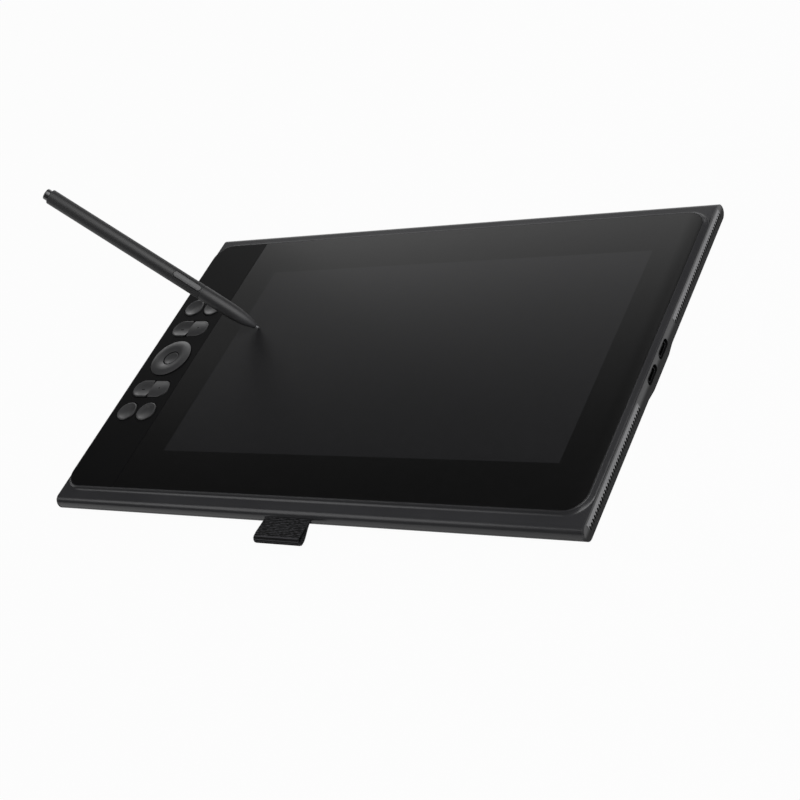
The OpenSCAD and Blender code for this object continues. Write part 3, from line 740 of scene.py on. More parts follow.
class Mesher:
    """Collects points in millimetres and becomes one object in metres."""

    def __init__(self, name: str, place: Optional[Matrix] = None) -> None:
        """Start an empty mesh.

        Args:
            name: Name of the piece.
            place: Where local millimetres go in the part's frame, or None to stay.
        """
        self.name = name
        self.place = place
        self.bm = bmesh.new()

    def row(self, points: Iterable[Point3]) -> List[bmesh.types.BMVert]:
        """Add a row of points in millimetres and return its vertices."""
        return [self.bm.verts.new(p) for p in points]

    def face(self, *corners: bmesh.types.BMVert) -> None:
        """Add one face."""
        self.bm.faces.new(corners)

    def bridge(
        self,
        first: Sequence[bmesh.types.BMVert],
        second: Sequence[bmesh.types.BMVert],
        closed: bool = True,
        skip: Sequence[int] = (),
    ) -> None:
        """Join two rows of the same length with four-sided faces.

        Args:
            first: One row.
            second: The next row.
            closed: Join the last point to the first.
            skip: Columns to leave open.
        """
        count = len(first)
        for i in range(count if closed else count - 1):
            if i not in skip:
                j = (i + 1) % count
                self.face(first[i], first[j], second[j], second[i])

    def loft(
        self, rows: Sequence[Sequence[Point3]], caps: bool = True
    ) -> List[List[bmesh.types.BMVert]]:
        """Skin closed rows of points one after another.

        Args:
            rows: Closed rows of the same length.
            caps: Close the two ends with flat faces.

        Returns:
            The vertices, row by row.
        """
        made = [self.row(r) for r in rows]
        for first, second in zip(made, made[1:]):
            self.bridge(first, second)
        if caps:
            self.face(*reversed(made[0]))
            self.face(*made[-1])
        return made

    def lathe(
        self, profile: Sequence[Point2], centre: Point2 = (0.0, 0.0), steps: int = 64
    ) -> None:
        """Turn a profile about an upright axis; a radius of 0 becomes one point.

        Args:
            profile: Radius and height of each ring, in order.
            centre: Where the axis stands.
            steps: Points in a ring.
        """
        cx, cy = centre
        turns = [2 * math.pi * i / steps for i in range(steps)]
        rings = []
        for radius, height in profile:
            rings.append(self.row(
                (cx + radius * math.cos(a), cy + radius * math.sin(a), height)
                for a in (turns if radius > WELD else turns[:1])
            ))
        for first, second in zip(rings, rings[1:]):
            if len(first) == len(second):
                self.bridge(first, second)
                continue
            for i in range(steps):
                j = (i + 1) % steps
                if len(first) == 1:
                    self.face(first[0], second[j], second[i])
                else:
                    self.face(first[i], first[j], second[0])

    def box(self, low: Point3, high: Point3) -> None:
        """Add a closed box between two corners."""
        outline = [(low[0], low[1]), (high[0], low[1]), (high[0], high[1]), (low[0], high[1])]
        self.loft([[(x, y, z) for x, y in outline] for z in (low[2], high[2])])

    def weld(self) -> None:
        """Join points that lie on each other."""
        bmesh.ops.remove_doubles(self.bm, verts=self.bm.verts, dist=WELD)

    def done(self, crease: float = 35.0) -> bpy.types.Object:
        """Finish the mesh and link its object.

        Args:
            crease: Edges sharper than this many degrees stay sharp.

        Returns:
            The object, at the origin.
        """
        if self.place is not None:
            self.bm.transform(self.place)
        self.bm.transform(Matrix.Scale(MM, 4))
        bmesh.ops.recalc_face_normals(self.bm, faces=self.bm.faces)
        shade_smooth(self.bm, crease)
        mesh = bpy.data.meshes.new(self.name)
        self.bm.to_mesh(mesh)
        self.bm.free()
        made = bpy.data.objects.new(self.name, mesh)
        bpy.context.scene.collection.objects.link(made)
        return made


def cut(
    target: bpy.types.Object, tool: bpy.types.Object, crease: float = 35.0
) -> bpy.types.Object:
    """Take one closed mesh away from another and throw the tool away.

    Args:
        target: Mesh to cut.
        tool: Mesh that is taken away.
        crease: Edges sharper than this many degrees stay sharp.

    Returns:
        The target, with its new mesh.
    """
    knife = target.modifiers.new("cut", "BOOLEAN")
    knife.operation, knife.solver, knife.object = "DIFFERENCE", "EXACT", tool
    bpy.context.view_layer.update()
    graph = bpy.context.evaluated_depsgraph_get()
    mesh = bpy.data.meshes.new_from_object(target.evaluated_get(graph))
    target.modifiers.remove(knife)
    target.data = mesh
    bpy.data.objects.remove(tool)
    work = bmesh.new()
    work.from_mesh(mesh)
    shade_smooth(work, crease)
    work.to_mesh(mesh)
    work.free()
    return target


def arc(start: float, end: float, steps: int) -> List[float]:
    """Angles in radians from start to end degrees, both included."""
    return [math.radians(start + (end - start) * i / steps) for i in range(steps + 1)]


def ease(share: float) -> float:
    """Smooth rise from 0 to 1."""
    return share * share * (3 - 2 * share)


def round_over(radius: float, top: float, edge: float, steps: int) -> List[Point2]:
    """Profile of a rounded upper edge, from the side to the top.

    Args:
        radius: Radius of the side.
        top: Height of the top.
        edge: Radius of the rounding.
        steps: Steps in it.

    Returns:
        Radius and height of each ring.
    """
    return [
        (radius - edge * (1 - math.cos(a)), top - edge * (1 - math.sin(a)))
        for a in arc(0, 90, steps)
    ]


def dished(radius: float, top: float, depth: float, steps: int) -> List[Point2]:
    """Profile of a hollow top, from its rim to the middle.

    Args:
        radius: Radius of the hollow's rim.
        top: Height of the rim.
        depth: Depth of the hollow.
        steps: Steps in it.

    Returns:
        Radius and height of each ring.
    """
    shares = [1 - i / steps for i in range(steps + 1)]
    return [(radius * t, top - depth * (1 - t * t)) for t in shares]


def rounded_rect(width: float, depth: float, radius: float, steps: int = 12) -> List[Point2]:
    """Outline of a rectangle with round corners, turning left from the right side.

    Args:
        width: Size along X.
        depth: Size along Y.
        radius: Corner radius.
        steps: Steps in each corner.

    Returns:
        The outline's points.
    """
    points = []
    for turn, (sx, sy) in enumerate([(1, 1), (-1, 1), (-1, -1), (1, -1)]):
        cx, cy = sx * (width / 2 - radius), sy * (depth / 2 - radius)
        corner = arc(90 * turn, 90 * turn + 90, steps)
        points += [(cx + radius * math.cos(a), cy + radius * math.sin(a)) for a in corner]
    return points


def stadium(length: float, width: float, steps: int = 16) -> List[Point2]:
    """Outline of a bar with round ends along X.

    Args:
        length: Size along X.
        width: Size along Y.
        steps: Steps in each end.

    Returns:
        The outline's points.
    """
    half, r = (length - width) / 2, width / 2
    right = [(half + r * math.cos(a), r * math.sin(a)) for a in arc(-90, 90, steps)]
    left = [(-half + r * math.cos(a), r * math.sin(a)) for a in arc(90, 270, steps)]
    return right + left


def dress(
    piece: bpy.types.Object,
    finish: Finish,
    body: Body,
    nodes: Sequence[str] = (),
) -> bpy.types.Object:
    """Give a new piece its finish and body, and hide the nodes that it stands for.

    Args:
        piece: The new object.
        finish: Its surface.
        body: Body that it moves with.
        nodes: Nodes of the frame that it replaces.

    Returns:
        The piece.
    """
    piece.data.materials.clear()
    piece.data.materials.append(finish.material())
    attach(piece, body.value)
    if nodes:
        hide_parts(*nodes)
    LOG.info("made %s on %s", piece.name, body.value)
    return piece


def redress(nodes: Sequence[str], finish: Finish) -> None:
    """Give nodes of the frame a finish.

    Args:
        nodes: Their names.
        finish: Their surface.
    """
    for name in nodes:
        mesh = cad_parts[name].data
        mesh.materials.clear()
        mesh.materials.append(finish.material())
        LOG.info("dressed %s", name)


# Sizes that several sub-assemblies share


@dataclass
class BodySizes:
    """Outside of the body, and the pocket that the glass and the key strip lie in."""

    body_w: float = 345.9
    body_d: float = 220.4
    edge_run: float = 4.2
    z_mid: float = 6.2
    z_wing: float = 11.2
    z_top: float = 13.4
    pocket_w: float = 339.6
    pocket_d: float = 199.7
    corner_r: float = 11.0


@dataclass
class PortSizes:
    """Where the two ports are in the right end."""

    port_y: float = -2.0
    port_pitch: float = 17.2
    port_z: float = 7.5
    port_steps: int = 20

    def middles(self) -> List[float]:
        """Middle of each port along Y."""
        return [self.port_y + s * self.port_pitch / 2 for s in (-1, 1)]

    def port_row(self, x: float, middle: float, width: float, height: float) -> List[Point3]:
        """Round-ended outline in a port.

        Args:
            x: Where it is along X.
            middle: Middle of the port along Y.
            width: Size along Y.
            height: Size along Z.

        Returns:
            The outline's points.
        """
        outline = stadium(width, height, self.port_steps)
        return [(x, middle + a, self.port_z + b) for a, b in outline]


@dataclass
class KeyLayout:
    """Where the keys stand on their strip, and the height that their stems end at."""

    x: float = -149.85
    key_pitch: float = 15.8
    pill_w: float = 28.4
    row_inner: float = 25.0
    row_outer: float = 43.2
    z_stem: float = 10.65

    def spot(self, row: Row, side: Side) -> Point2:
        """Middle of a key.

        Args:
            row: Its row.
            side: Which key of the row.

        Returns:
            Its place in X and Y.
        """
        split = row in (Row.UPPER, Row.LOWER)
        out = self.pill_w / 4 if split else self.key_pitch / 2
        way = 1 if row in (Row.BACK, Row.UPPER) else -1
        return self.x + side.value * out, way * (self.row_inner if split else self.row_outer)

    @staticmethod
    def body(row: Row, side: Side) -> Body:
        """Body that a key is."""
        return Body["KEY_%s_%s" % (row.name, side.name)]


# Pieces


@dataclass(frozen=True)
class Flank:
    """Section of the slope from the glass to the wing: round at the top and hollow at the foot."""

    run: float
    crown: float
    foot: float
    steps: int = 6
    halvings: int = 40

    def points(self, drop: float) -> List[Point2]:
        """Section from the top, as distance out and depth.

        Args:
            drop: Height of the slope.

        Returns:
            The section's points.
        """
        low, high = 0.0, math.pi / 2
        both = self.crown + self.foot
        for _ in range(self.halvings):
            tilt = (low + high) / 2
            straight = max(0.0, (self.run - both * math.sin(tilt)) / math.cos(tilt))
            if both * (1 - math.cos(tilt)) + straight * math.sin(tilt) < drop:
                low = tilt
            else:
                high = tilt
        turns = [tilt * i / self.steps for i in range(self.steps + 1)]
        made = [(self.crown * math.sin(a), self.crown * (1 - math.cos(a))) for a in turns]
        return made + [
            (self.run - self.foot * math.sin(a), drop - self.foot * (1 - math.cos(a)))
            for a in reversed(turns)
        ]

    def out(self, depth: float, drop: float) -> float:
        """Distance out at a depth.

        Args:
            depth: Depth below the top.
            drop: Height of the slope.

        Returns:
            The distance in millimetres.
        """
        line = self.points(drop)
        for (o0, d0), (o1, d1) in zip(line, line[1:]):
            if d0 <= depth <= d1 and d1 > d0:
                return o0 + (o1 - o0) * (depth - d0) / (d1 - d0)
        return line[0][0] if depth < line[0][1] else line[-1][0]


@dataclass
class Housing(BodySizes):
    """Upper shell: round-edged wing, and the slope that rises from it to the glass."""

    sleeve_w: float = 343.1
    wall: float = 1.2
    z_ledge: float = 12.0
    lip: float = 0.25
    lip_edge: float = 0.06
    ends: Flank = Flank(2.6, 0.4, 1.2)
    fronts: Flank = Flank(3.0, 0.25, 2.8)
    flank_rows: int = 14
    ledge_w: float = 4.0
    seam: float = 0.04
    slot_w: float = 30.2
    slot_turn: float = 25.0
    slot_row: int = 13
    corner_steps: int = 16

    def outline(self, side: float, front: float) -> List[Point2]:
        """Outline round the glass pocket, grown outwards, with the ribbon slot's columns in front.

        Args:
            side: How far outside the pocket at the ends.
            front: How far outside it in front and at the back.

        Returns:
            The outline's points.
        """
        radius = max(self.corner_r + (side + front) / 2, 1.0)
        width, depth = self.pocket_w + 2 * side, self.pocket_d + 2 * front
        points = rounded_rect(width, depth, radius, self.corner_steps)
        y = -self.pocket_d / 2 - front
        at = 3 * (self.corner_steps + 1)
        return points[:at] + [(-self.slot_w / 2, y), (self.slot_w / 2, y)] + points[at:]

    def rectangle(self) -> List[Point2]:
        """Edge of the wing's flat, point for point with the outline.

        Returns:
            The edge's points.
        """
        n, x, y = self.corner_steps, self.sleeve_w / 2, self.body_d / 2 - self.edge_run
        near_x, near_y = self.pocket_w / 2 - self.corner_r, self.pocket_d / 2 - self.corner_r
        quarter = []
        for i in range(n + 1):
            t = abs(2 * i / n - 1)
            on_end, on_front = (x, y + (near_y - y) * t), (x + (near_x - x) * t, y)
            quarter.append(on_end if i <= n / 2 else on_front)
        flip = list(reversed(quarter))
        points = quarter + [(-px, py) for px, py in flip] + [(-px, -py) for px, py in quarter]
        points += [(-self.slot_w / 2, -y), (self.slot_w / 2, -y)]
        return points + [(px, -py) for px, py in flip]

    def columns(self) -> Tuple[List[int], List[int]]:
        """Numbers of the rectangle's points along the back and along the front.

        Returns:
            The back's numbers and the front's.
        """
        corner = self.corner_steps + 1
        half = self.corner_steps // 2
        back = list(range(half, corner + half + 1))
        front = list(range(2 * corner + half, 3 * corner + 2 + half + 1))
        return back, front

    def ring_rows(self) -> List[Point3]:
        """Rows of the shell from the wing over the lip to the ledge.

        Returns:
            Offset at the ends, offset in front and height of each row.
        """
        drop = self.z_top - self.z_wing
        rows = []
        for i in range(self.flank_rows + 1):
            depth = drop * (0.5 + 0.5 * math.cos(math.pi * i / self.flank_rows))
            side, front = self.ends.out(depth, drop), self.fronts.out(depth, drop)
            rows.append((self.lip + side, self.lip + front, self.z_top - depth))
        rows.append((self.lip_edge, self.lip_edge, self.z_top))
        rows += [(0.0, 0.0, self.z_top - self.lip_edge), (0.0, 0.0, self.z_ledge)]
        inner = -self.ledge_w
        return rows + [(inner, inner, self.z_ledge), (inner, inner, self.z_wing - self.wall)]

    def edge(self, inset: float) -> List[Point2]:
        """Section of the round edge, from the flat's rim down to the seam.

        Args:
            inset: How far inside the outer face.

        Returns:
            Distance out from the rim and height of each point.
        """
        out, up = self.edge_run - inset, self.z_wing - self.z_mid - inset
        turns = arc(90, self.slot_turn, self.slot_row)[1:] + [math.radians(self.slot_turn / 2)]
        section = [(0.0, self.z_wing - inset)]
        section += [(out * math.cos(a), self.z_mid + up * math.sin(a)) for a in turns]
        return section + [(out, self.z_mid + self.seam)]

    def round_edge(
        self,
        mesher: Mesher,
        rim: Sequence[bmesh.types.BMVert],
        sign: int,
        inset: float,
        gap: int,
    ) -> List[List[bmesh.types.BMVert]]:
        """Run the wing's rim down over the round edge.

        Args:
            mesher: The mesh.
            rim: Vertices along the edge of the flat.
            sign: 1 at the back and -1 at the front.
            inset: How far inside the outer face.
            gap: First column of the ribbon's slot, or -1 for none.

        Returns:
            Rows of vertices, from the rim down.
        """
        rows = [list(rim)]
        for out, z in self.edge(inset)[1:]:
            y = sign * (self.body_d / 2 - self.edge_run + out)
            rows.append(mesher.row((v.co.x, y, z) for v in rim))
        for i, (first, second) in enumerate(zip(rows, rows[1:])):
            mesher.bridge(first, second, closed=False, skip=[gap] if i >= self.slot_row else ())
        return rows

    def edge_pair(
        self,
        mesher: Mesher,
        over: Sequence[bmesh.types.BMVert],
        under: Sequence[bmesh.types.BMVert],
        sign: int,
        gap: int,
    ) -> None:
        """Make the outer and inner face of one round edge and close them to each other.

        Args:
            mesher: The mesh.
            over: Vertices along the edge of the flat.
            under: Vertices below them, inside the wall.
            sign: 1 at the back and -1 at the front.
            gap: First column of the ribbon's slot, or -1 for none.
        """
        outer = self.round_edge(mesher, over, sign, 0.0, gap)
        inner = self.round_edge(mesher, under, sign, self.wall, gap)
        mesher.bridge(outer[-1], inner[-1], closed=False, skip=[gap])
        walls = [(0, 0), (-1, 0)]
        if gap >= 0:
            top = self.slot_row
            roof = slice(gap, gap + 2)
            mesher.bridge(outer[top][roof], inner[top][roof], closed=False)
            walls += [(gap, top), (gap + 1, top)]
        for column, start in walls:
            sides = [[r[column] for r in rows[start:]] for rows in (outer, inner)]
            mesher.bridge(*sides, closed=False)

    def build(self) -> bpy.types.Object:
        """Make the shell.

        Returns:
            The dressed piece.
        """
        mesher = Mesher("housing_shell")
        ring = []
        for side, front, z in self.ring_rows():
            ring.append(mesher.row((x, y, z) for x, y in self.outline(side, front)))
        for first, second in zip(ring, ring[1:]):
            mesher.bridge(first, second)
        flat = self.rectangle()
        over = mesher.row((x, y, self.z_wing) for x, y in flat)
        under = mesher.row((x, y, self.z_wing - self.wall) for x, y in flat)
        mesher.bridge(over, ring[0])
        mesher.bridge(ring[-1], under)
        back, front = self.columns()
        mesher.bridge(over, under, skip=back[:-1] + front[:-1])
        gap = front.index(3 * (self.corner_steps + 1))
        for picks, sign, hole in ((back, 1, -1), (front, -1, gap)):
            self.edge_pair(mesher, [over[i] for i in picks], [under[i] for i in picks], sign, hole)
        return dress(mesher.done(30.0), SHELL, Body.TABLET, ["front_housing"])


@dataclass(kw_only=True)
class EndCap(BodySizes, PortSizes):
    """End plate with a sloping top edge and a row of vent slots each side of the middle."""

    name: str
    node: str
    sign: int
    ports: bool
    thick: float = 1.4
    sink: float = 0.03
    slope_h: float = 3.9
    slope_w: float = 0.27
    bend: Point2 = (-0.08, 0.04)
    soften: float = 0.22
    vent_pitch: float = 2.1
    vent_w: float = 1.0
    vent_h: float = 2.8
    vent_z: float = 6.6
    vent_y: float = -3.0
    vent_end: float = 5.0
    vent_steps: int = 4
    lip_h: float = 0.2
    lip_least: float = 0.3
    lip_drop: float = 1.1
    lip_tuck: float = 0.15
    lip_upper: Tuple[Point2, ...] = ((0.0, 0.0), (0.3, 0.35), (0.7, 0.75), (1.1, 1.0), (1.6, 1.0))
    lip_lower: Tuple[Point2, ...] = ((0.4, 0.85), (0.15, 0.5), (0.0, 0.0))
    mouth_gap: float = 0.05
    tooth_h: float = 1.15
    tooth_steps: int = 10
    port_w: float = 12.4
    port_h: float = 4.6
    port_plain: float = 14.5
    liner_t: float = 0.12
    liner_l: float = 1.5
    liner_gap: float = 0.02
    hump_h: float = 1.3
    hump_flat: float = 24.0
    hump_run: float = 7.0
    crease: float = 28.0

    def section(self, inset: float, top: float) -> List[Point2]:
        """Outline of the plate in Y and Z.

        Args:
            inset: How far the outline is drawn in.
            top: Height where the slope cuts it off.

        Returns:
            The outline's points.
        """
        run, rim = self.edge_run - inset, self.body_d / 2 - self.edge_run
        up = self.z_wing - self.sink - self.z_mid - inset
        lower, upper = arc(0, 90, 12), arc(0, 90, 14)[1:]
        front = [(-rim - run * math.sin(a), self.z_mid - run * math.cos(a)) for a in lower]
        front += [(-rim - run * math.cos(a), self.z_mid + up * math.sin(a)) for a in upper]
        points = front + [(-y, z) for y, z in reversed(front)]
        if self.ports:
            base, flat = self.z_mid - run, self.hump_flat / 2 - inset
            foot = flat + self.hump_run
            for y, drop in ((foot, 0.0), (flat, 1.0), (-flat, 1.0), (-foot, 0.0)):
                points.append((self.vent_y + y, base - self.hump_h * drop))
        return [(y, min(z, top)) for y, z in points]

    def rows(self) -> List[List[Point3]]:
        """Rows of the plate from its inner face to its outer one.

        Returns:
            The rows' points.
        """
        end, top = self.body_w / 2, self.z_wing - self.sink
        stops = [(end - self.thick, 0.0)] + [(end - self.slope_w + b, 0.0) for b in self.bend]
        stops += [(end - self.soften * (1 - math.sin(a)), self.soften * (1 - math.cos(a)))
                  for a in arc(0, 90, 4)]
        rows = []
        for x, inset in stops:
            share = min(1.0, max(0.0, (x - end + self.slope_w) / self.slope_w))
            limit = top - inset - self.slope_h * share
            rows.append([(self.sign * x, y, z) for y, z in self.section(inset, limit)])
        return rows

    def slots(self, way: int) -> List[float]:
        """Places of the slots along Y.

        Args:
            way: 1 for the group behind the ports and -1 for the one in front.

        Returns:
            Middle of each slot.
        """
        y = self.vent_y + way * (self.port_pitch / 2 + self.port_w / 2 + self.port_plain)
        made = []
        while way * y <= self.body_d / 2 - self.vent_end:
            made.append(y)
            y += way * self.vent_pitch
        return made

    def lip_section(self, proud: float, low: float) -> List[Point2]:
        """Section of the bright lip over the slots.

        Args:
            proud: How far it stands off the plate.
            low: Height of its lower edge.

        Returns:
            The section's points in X and Z.
        """
        end, top = self.body_w / 2, self.z_wing - self.lip_drop
        foot = self.z_wing - self.sink - self.slope_h
        stops = [(top - deep, share) for deep, share in self.lip_upper]
        stops += [(low + high, share) for high, share in self.lip_lower]
        outer = []
        for z, share in stops:
            lean = self.slope_w * max(0.0, (z - foot) / self.slope_h)
            outer.append((end - lean + proud * share, z))
        return outer + [(outer[-1][0] - self.lip_tuck, low), (outer[0][0] - self.lip_tuck, top)]

    def ribs(self) -> None:
        """Make the bright lip over each row of slots, with a tooth between every two slots."""
        mesher = Mesher(self.name + "_ribs")
        mouth = self.vent_z + self.vent_h / 2 + self.mouth_gap
        for way in (1, -1):
            places = self.slots(way)
            start = places[0] - way * self.vent_pitch / 2
            stop = places[-1] + way * self.vent_pitch / 2
            count = len(places) * self.tooth_steps
            loops = []
            for i in range(count + 1):
                y = start + (stop - start) * i / count
                tooth = ease(0.5 + 0.5 * math.cos(2 * math.pi * (y - start) / self.vent_pitch))
                proud = self.lip_h * (self.lip_least + (1 - self.lip_least) * tooth)
                section = self.lip_section(proud, mouth - self.tooth_h * tooth)
                loops.append([(self.sign * x, y, z) for x, z in section])
            mesher.loft(loops)
        dress(mesher.done(40.0), RIB, Body.TABLET)

    def painted_shade_liners(self) -> None:
        """Make the black sleeves that line the ports, a dark sheet of painted shade inside them."""
        mesher = Mesher(self.name + "_painted_shade_liners")
        end, thick = self.body_w / 2, self.liner_t
        stops = ((self.liner_l, 0.0), (thick, 0.0), (thick / 2, thick / 2), (thick, thick),
                 (self.liner_l, thick))
        for middle in self.middles():
            rows = []
            for deep, inset in stops:
                less = 2 * inset + self.liner_gap
                sizes = self.port_w - less, self.port_h - less
                rows.append(self.port_row(self.sign * (end - deep), middle, *sizes))
            mesher.loft(rows + rows[:1], caps=False)
        dress(mesher.done(40.0), PORT_SHADE, Body.TABLET)

    def openings(self) -> bpy.types.Object:
        """Shapes that are cut out of the plate: the slots and the ports.

        Returns:
            One object with all of them.
        """
        tool = Mesher(self.name + "_openings")
        far = self.body_w / 2
        ends = sorted((self.sign * (far - self.thick - 1), self.sign * (far + 1)))
        slot = stadium(self.vent_h, self.vent_w, self.vent_steps)
        for y in self.slots(1) + self.slots(-1):
            tool.loft([[(x, y + a, self.vent_z + b) for b, a in slot] for x in ends])
        for middle in self.middles() if self.ports else ():
            tool.loft([self.port_row(x, middle, self.port_w, self.port_h) for x in ends])
        return tool.done()

    def build(self) -> None:
        """Make the plate, its bright lips and the black sleeves of painted shade in the ports."""
        mesher = Mesher(self.name)
        mesher.loft(self.rows())
        plate = cut(mesher.done(self.crease), self.openings(), self.crease)
        self.ribs()
        if self.ports:
            self.painted_shade_liners()
        dress(plate, CAP, Body.TABLET, [self.node])


@dataclass
class Screen(BodySizes):
    """Cover glass with a softened edge."""

    seam_x: float = -130.9
    gap: float = 0.1
    low: float = 12.3
    edge: float = 0.16
    corner_steps: int = 16

    def outline(self, inset: float) -> List[Point2]:
        """Outline of the glass: square at the seam and round at the right.

        Args:
            inset: How far it is drawn in.

        Returns:
            The outline's points.
        """
        grow = self.gap + inset
        sizes = self.pocket_w - 2 * grow, self.pocket_d - 2 * grow, self.corner_r - grow
        whole = rounded_rect(*sizes, self.corner_steps)
        corner = self.corner_steps + 1
        left, y = self.seam_x + self.gap / 2 + inset, self.pocket_d / 2 - grow
        return whole[:corner] + [(left, y), (left, -y)] + whole[3 * corner:]

    def build(self) -> None:
        """Make the glass."""
        mesher = Mesher("screen_glass")
        rows = [(0.0, self.low)]
        rows += [(-out, z) for out, z in round_over(0.0, self.z_top, self.edge, 4)]
        mesher.loft([[(x, y, z) for x, y in self.outline(inset)] for inset, z in rows])
        dress(mesher.done(30.0), GLASS, Body.TABLET, ["cover_glass"])


@dataclass
class KeyStrip(KeyLayout):
    """Round keys, split keys and the dial, each on its own body."""

    z_top: float = 13.4
    z_flange: float = 11.95
    flange: float = 0.6
    flange_t: float = 0.6
    stem_r: float = 2.0
    stem_in: float = 0.1
    proud: float = 0.6
    rim: float = 0.85
    rim_steps: int = 5
    round_land: float = 0.25
    split_land: float = 0.2
    dish: float = 1.15
    dish_steps: int = 8
    dome: float = 0.7
    key_d: float = 14.2
    pill_d: float = 13.4
    split_gap: float = 0.8
    split_lean: float = 0.3
    split_corner: float = 0.45
    split_least: float = 0.05
    bar: Point2 = (2.6, 0.8)
    dot: Point2 = (1.101, 1.1)
    mark_rows: Tuple[Point2, ...] = ((1.0, -0.1), (1.0, 0.05), (0.8, 0.1))
    dial_d: float = 28.0
    dial_skirt: float = 1.0
    dial_proud: float = 1.3
    dial_edge: float = 0.35
    dial_steps: int = 28
    bowl_r: float = 5.4
    crown_r: float = 9.8
    bowl_rise: float = 0.4
    hub_r: float = 5.05
    z_dial: float = 10.0
    z_hub: float = 11.4
    button_r: float = 4.95
    button_stem_r: float = 3.1
    z_button: float = 13.6
    button_t: float = 1.1
    button_rim: float = 0.3
    button_dish: float = 0.75
    crease: float = 40.0

    def key_top(self) -> float:
        """Height of a key's rim."""
        return self.z_top + self.proud

    def z_low(self) -> float:
        """Height of the flange's lower face."""
        return self.z_flange - self.flange_t

    def round_key(self, row: Row, side: Side) -> None:
        """Make one round key.

        Args:
            row: Its row.
            side: Which key of the row.
        """
        body, r, low = self.body(row, side), self.key_d / 2, self.z_low()
        profile = [(0.0, self.z_stem), (self.stem_r, self.z_stem), (self.stem_r, low)]
        profile += [(r + self.flange, low), (r + self.flange, self.z_flange), (r, self.z_flange)]
        profile += round_over(r, self.key_top(), self.rim, self.rim_steps)
        inner = r - self.rim - self.round_land
        profile += dished(inner, self.key_top(), self.dish, self.dish_steps)
        mesher = Mesher(body.value + "_cap")
        mesher.lathe(profile, self.spot(row, side), 72)
        dress(mesher.done(self.crease), KEY, body, [body.value])

    def half_outline(self, grow: float, inset: float = 0.0) -> List[Point2]:
        """Outline of the right half of a split key.

        Args:
            grow: How far the outer side is grown, for the flange.
            inset: How far the whole outline is drawn in.

        Returns:
            The outline's points.
        """
        r = self.pill_d / 2 + grow - inset
        cx = self.pill_w / 2 - self.pill_d / 2
        left = self.split_gap / 2 + self.split_lean * inset
        nib = max(self.split_least, self.split_corner - inset)
        upper = [(left + (cx - left) * t, r) for t in (0.6, 0.3)]
        upper += [(left + nib - nib * math.sin(a), r - nib + nib * math.cos(a))
                  for a in arc(0, 90, 4)]
        lower = [(x, -y) for x, y in reversed(upper)]
        end = [(cx + r * math.cos(a), r * math.sin(a)) for a in arc(-90, 90, 28)]
        return lower + end + upper + [(left, r * t) for t in (0.6, 0.25, -0.25, -0.6)]

    def pill_z(self, side: Side, at: Point2) -> float:
        """Height of a split key's top: the left half is dished and the right one domed.

        Args:
            side: Which half.
            at: Place on it, from the middle of the pair, outwards and to the side.

        Returns:
            The height.
        """
        past = max(0.0, at[0] - self.pill_w / 2 + self.pill_d / 2)
        reach = self.pill_d / 2 - self.rim - self.split_land
        share = min(1.0, math.hypot(past, at[1]) / reach)
        if side is Side.RIGHT:
            return self.key_top() + self.dome * (0.5 - share * share)
        return self.key_top() - self.dish * (1 - share * share)

    def placed(
        self,
        row: Row,
        side: Side,
        points: Sequence[Point2],
        drop: float = 0.0,
        z: Optional[float] = None,
    ) -> List[Point3]:
        """Outline of the right half moved to either half of a split key.

        Args:
            row: The key's row.
            side: Which half.
            points: The outline, from the middle of the pair.
            drop: Depth below the key's top.
            z: A level height instead.

        Returns:
            The points in the part's frame.
        """
        turn, y = side.value, self.spot(row, side)[1]
        made = []
        for px, py in points:
            height = self.pill_z(side, (px, py)) - drop if z is None else z
            made.append((self.x + turn * px, y + turn * py, height))
        return made

    def split_key(self, row: Row, side: Side) -> None:
        """Make one half of a split key, with its small mark.

        Args:
            row: Its row.
            side: Which half.
        """
        body, low, middle = self.body(row, side), self.z_low(), self.pill_w / 4
        put = partial(self.placed, row, side)
        wide = self.half_outline(self.flange)
        rows = [put(wide, z=low), put(wide, z=self.z_flange)]
        rows.append(put(self.half_outline(0.0), z=self.z_flange))
        for a in arc(0, 90, self.rim_steps):
            outline = self.half_outline(0.0, self.rim * (1 - math.cos(a)))
            rows.append(put(outline, drop=self.rim * (1 - math.sin(a))))
        base = self.half_outline(0.0, self.rim + self.split_land)
        for i in range(self.dish_steps):
            t = 1 - i / self.dish_steps
            rows.append(put([(middle + (px - middle) * t, py * t) for px, py in base]))
        mesher = Mesher(body.value + "_cap")
        mesher.loft(rows)
        top = low + self.stem_in
        stem = [(0.0, self.z_stem), (self.stem_r, self.z_stem), (self.stem_r, top), (0.0, top)]
        mesher.lathe(stem, self.spot(row, side), 32)
        dress(mesher.done(self.crease), KEY, body, [body.value])
        self.mark(row, side)

    def mark(self, row: Row, side: Side) -> None:
        """Inlay in the middle of a split key: a bar on the left half and a dot on the right.

        Args:
            row: The key's row.
            side: Which half.
        """
        body, (x, y) = self.body(row, side), self.spot(row, side)
        z = self.pill_z(side, (self.pill_w / 4, 0.0))
        outline = stadium(*self.bar, 8) if side is Side.LEFT else stadium(*self.dot, 10)
        mesher = Mesher(body.value + "_mark")
        mesher.loft([[(x + px * k, y + py * k, z + h) for px, py in outline]
                     for k, h in self.mark_rows])
        dress(mesher.done(30.0), MARK, body)

    def rise(self, radius: float) -> float:
        """Height of the dial above the strip.

        Args:
            radius: Distance from the dial's middle.

        Returns:
            The height.
        """
        quarter = math.pi / 2
        if radius > self.crown_r:
            turn = (radius - self.crown_r) / (self.dial_d / 2 - self.crown_r)
            fall = (1 - self.dial_edge) * math.cos(quarter * turn)
            return self.dial_proud * (self.dial_edge + fall)
        share = math.sin(quarter * (radius - self.bowl_r) / (self.crown_r - self.bowl_r))
        return (self.dial_proud - self.bowl_rise) * share + self.bowl_rise

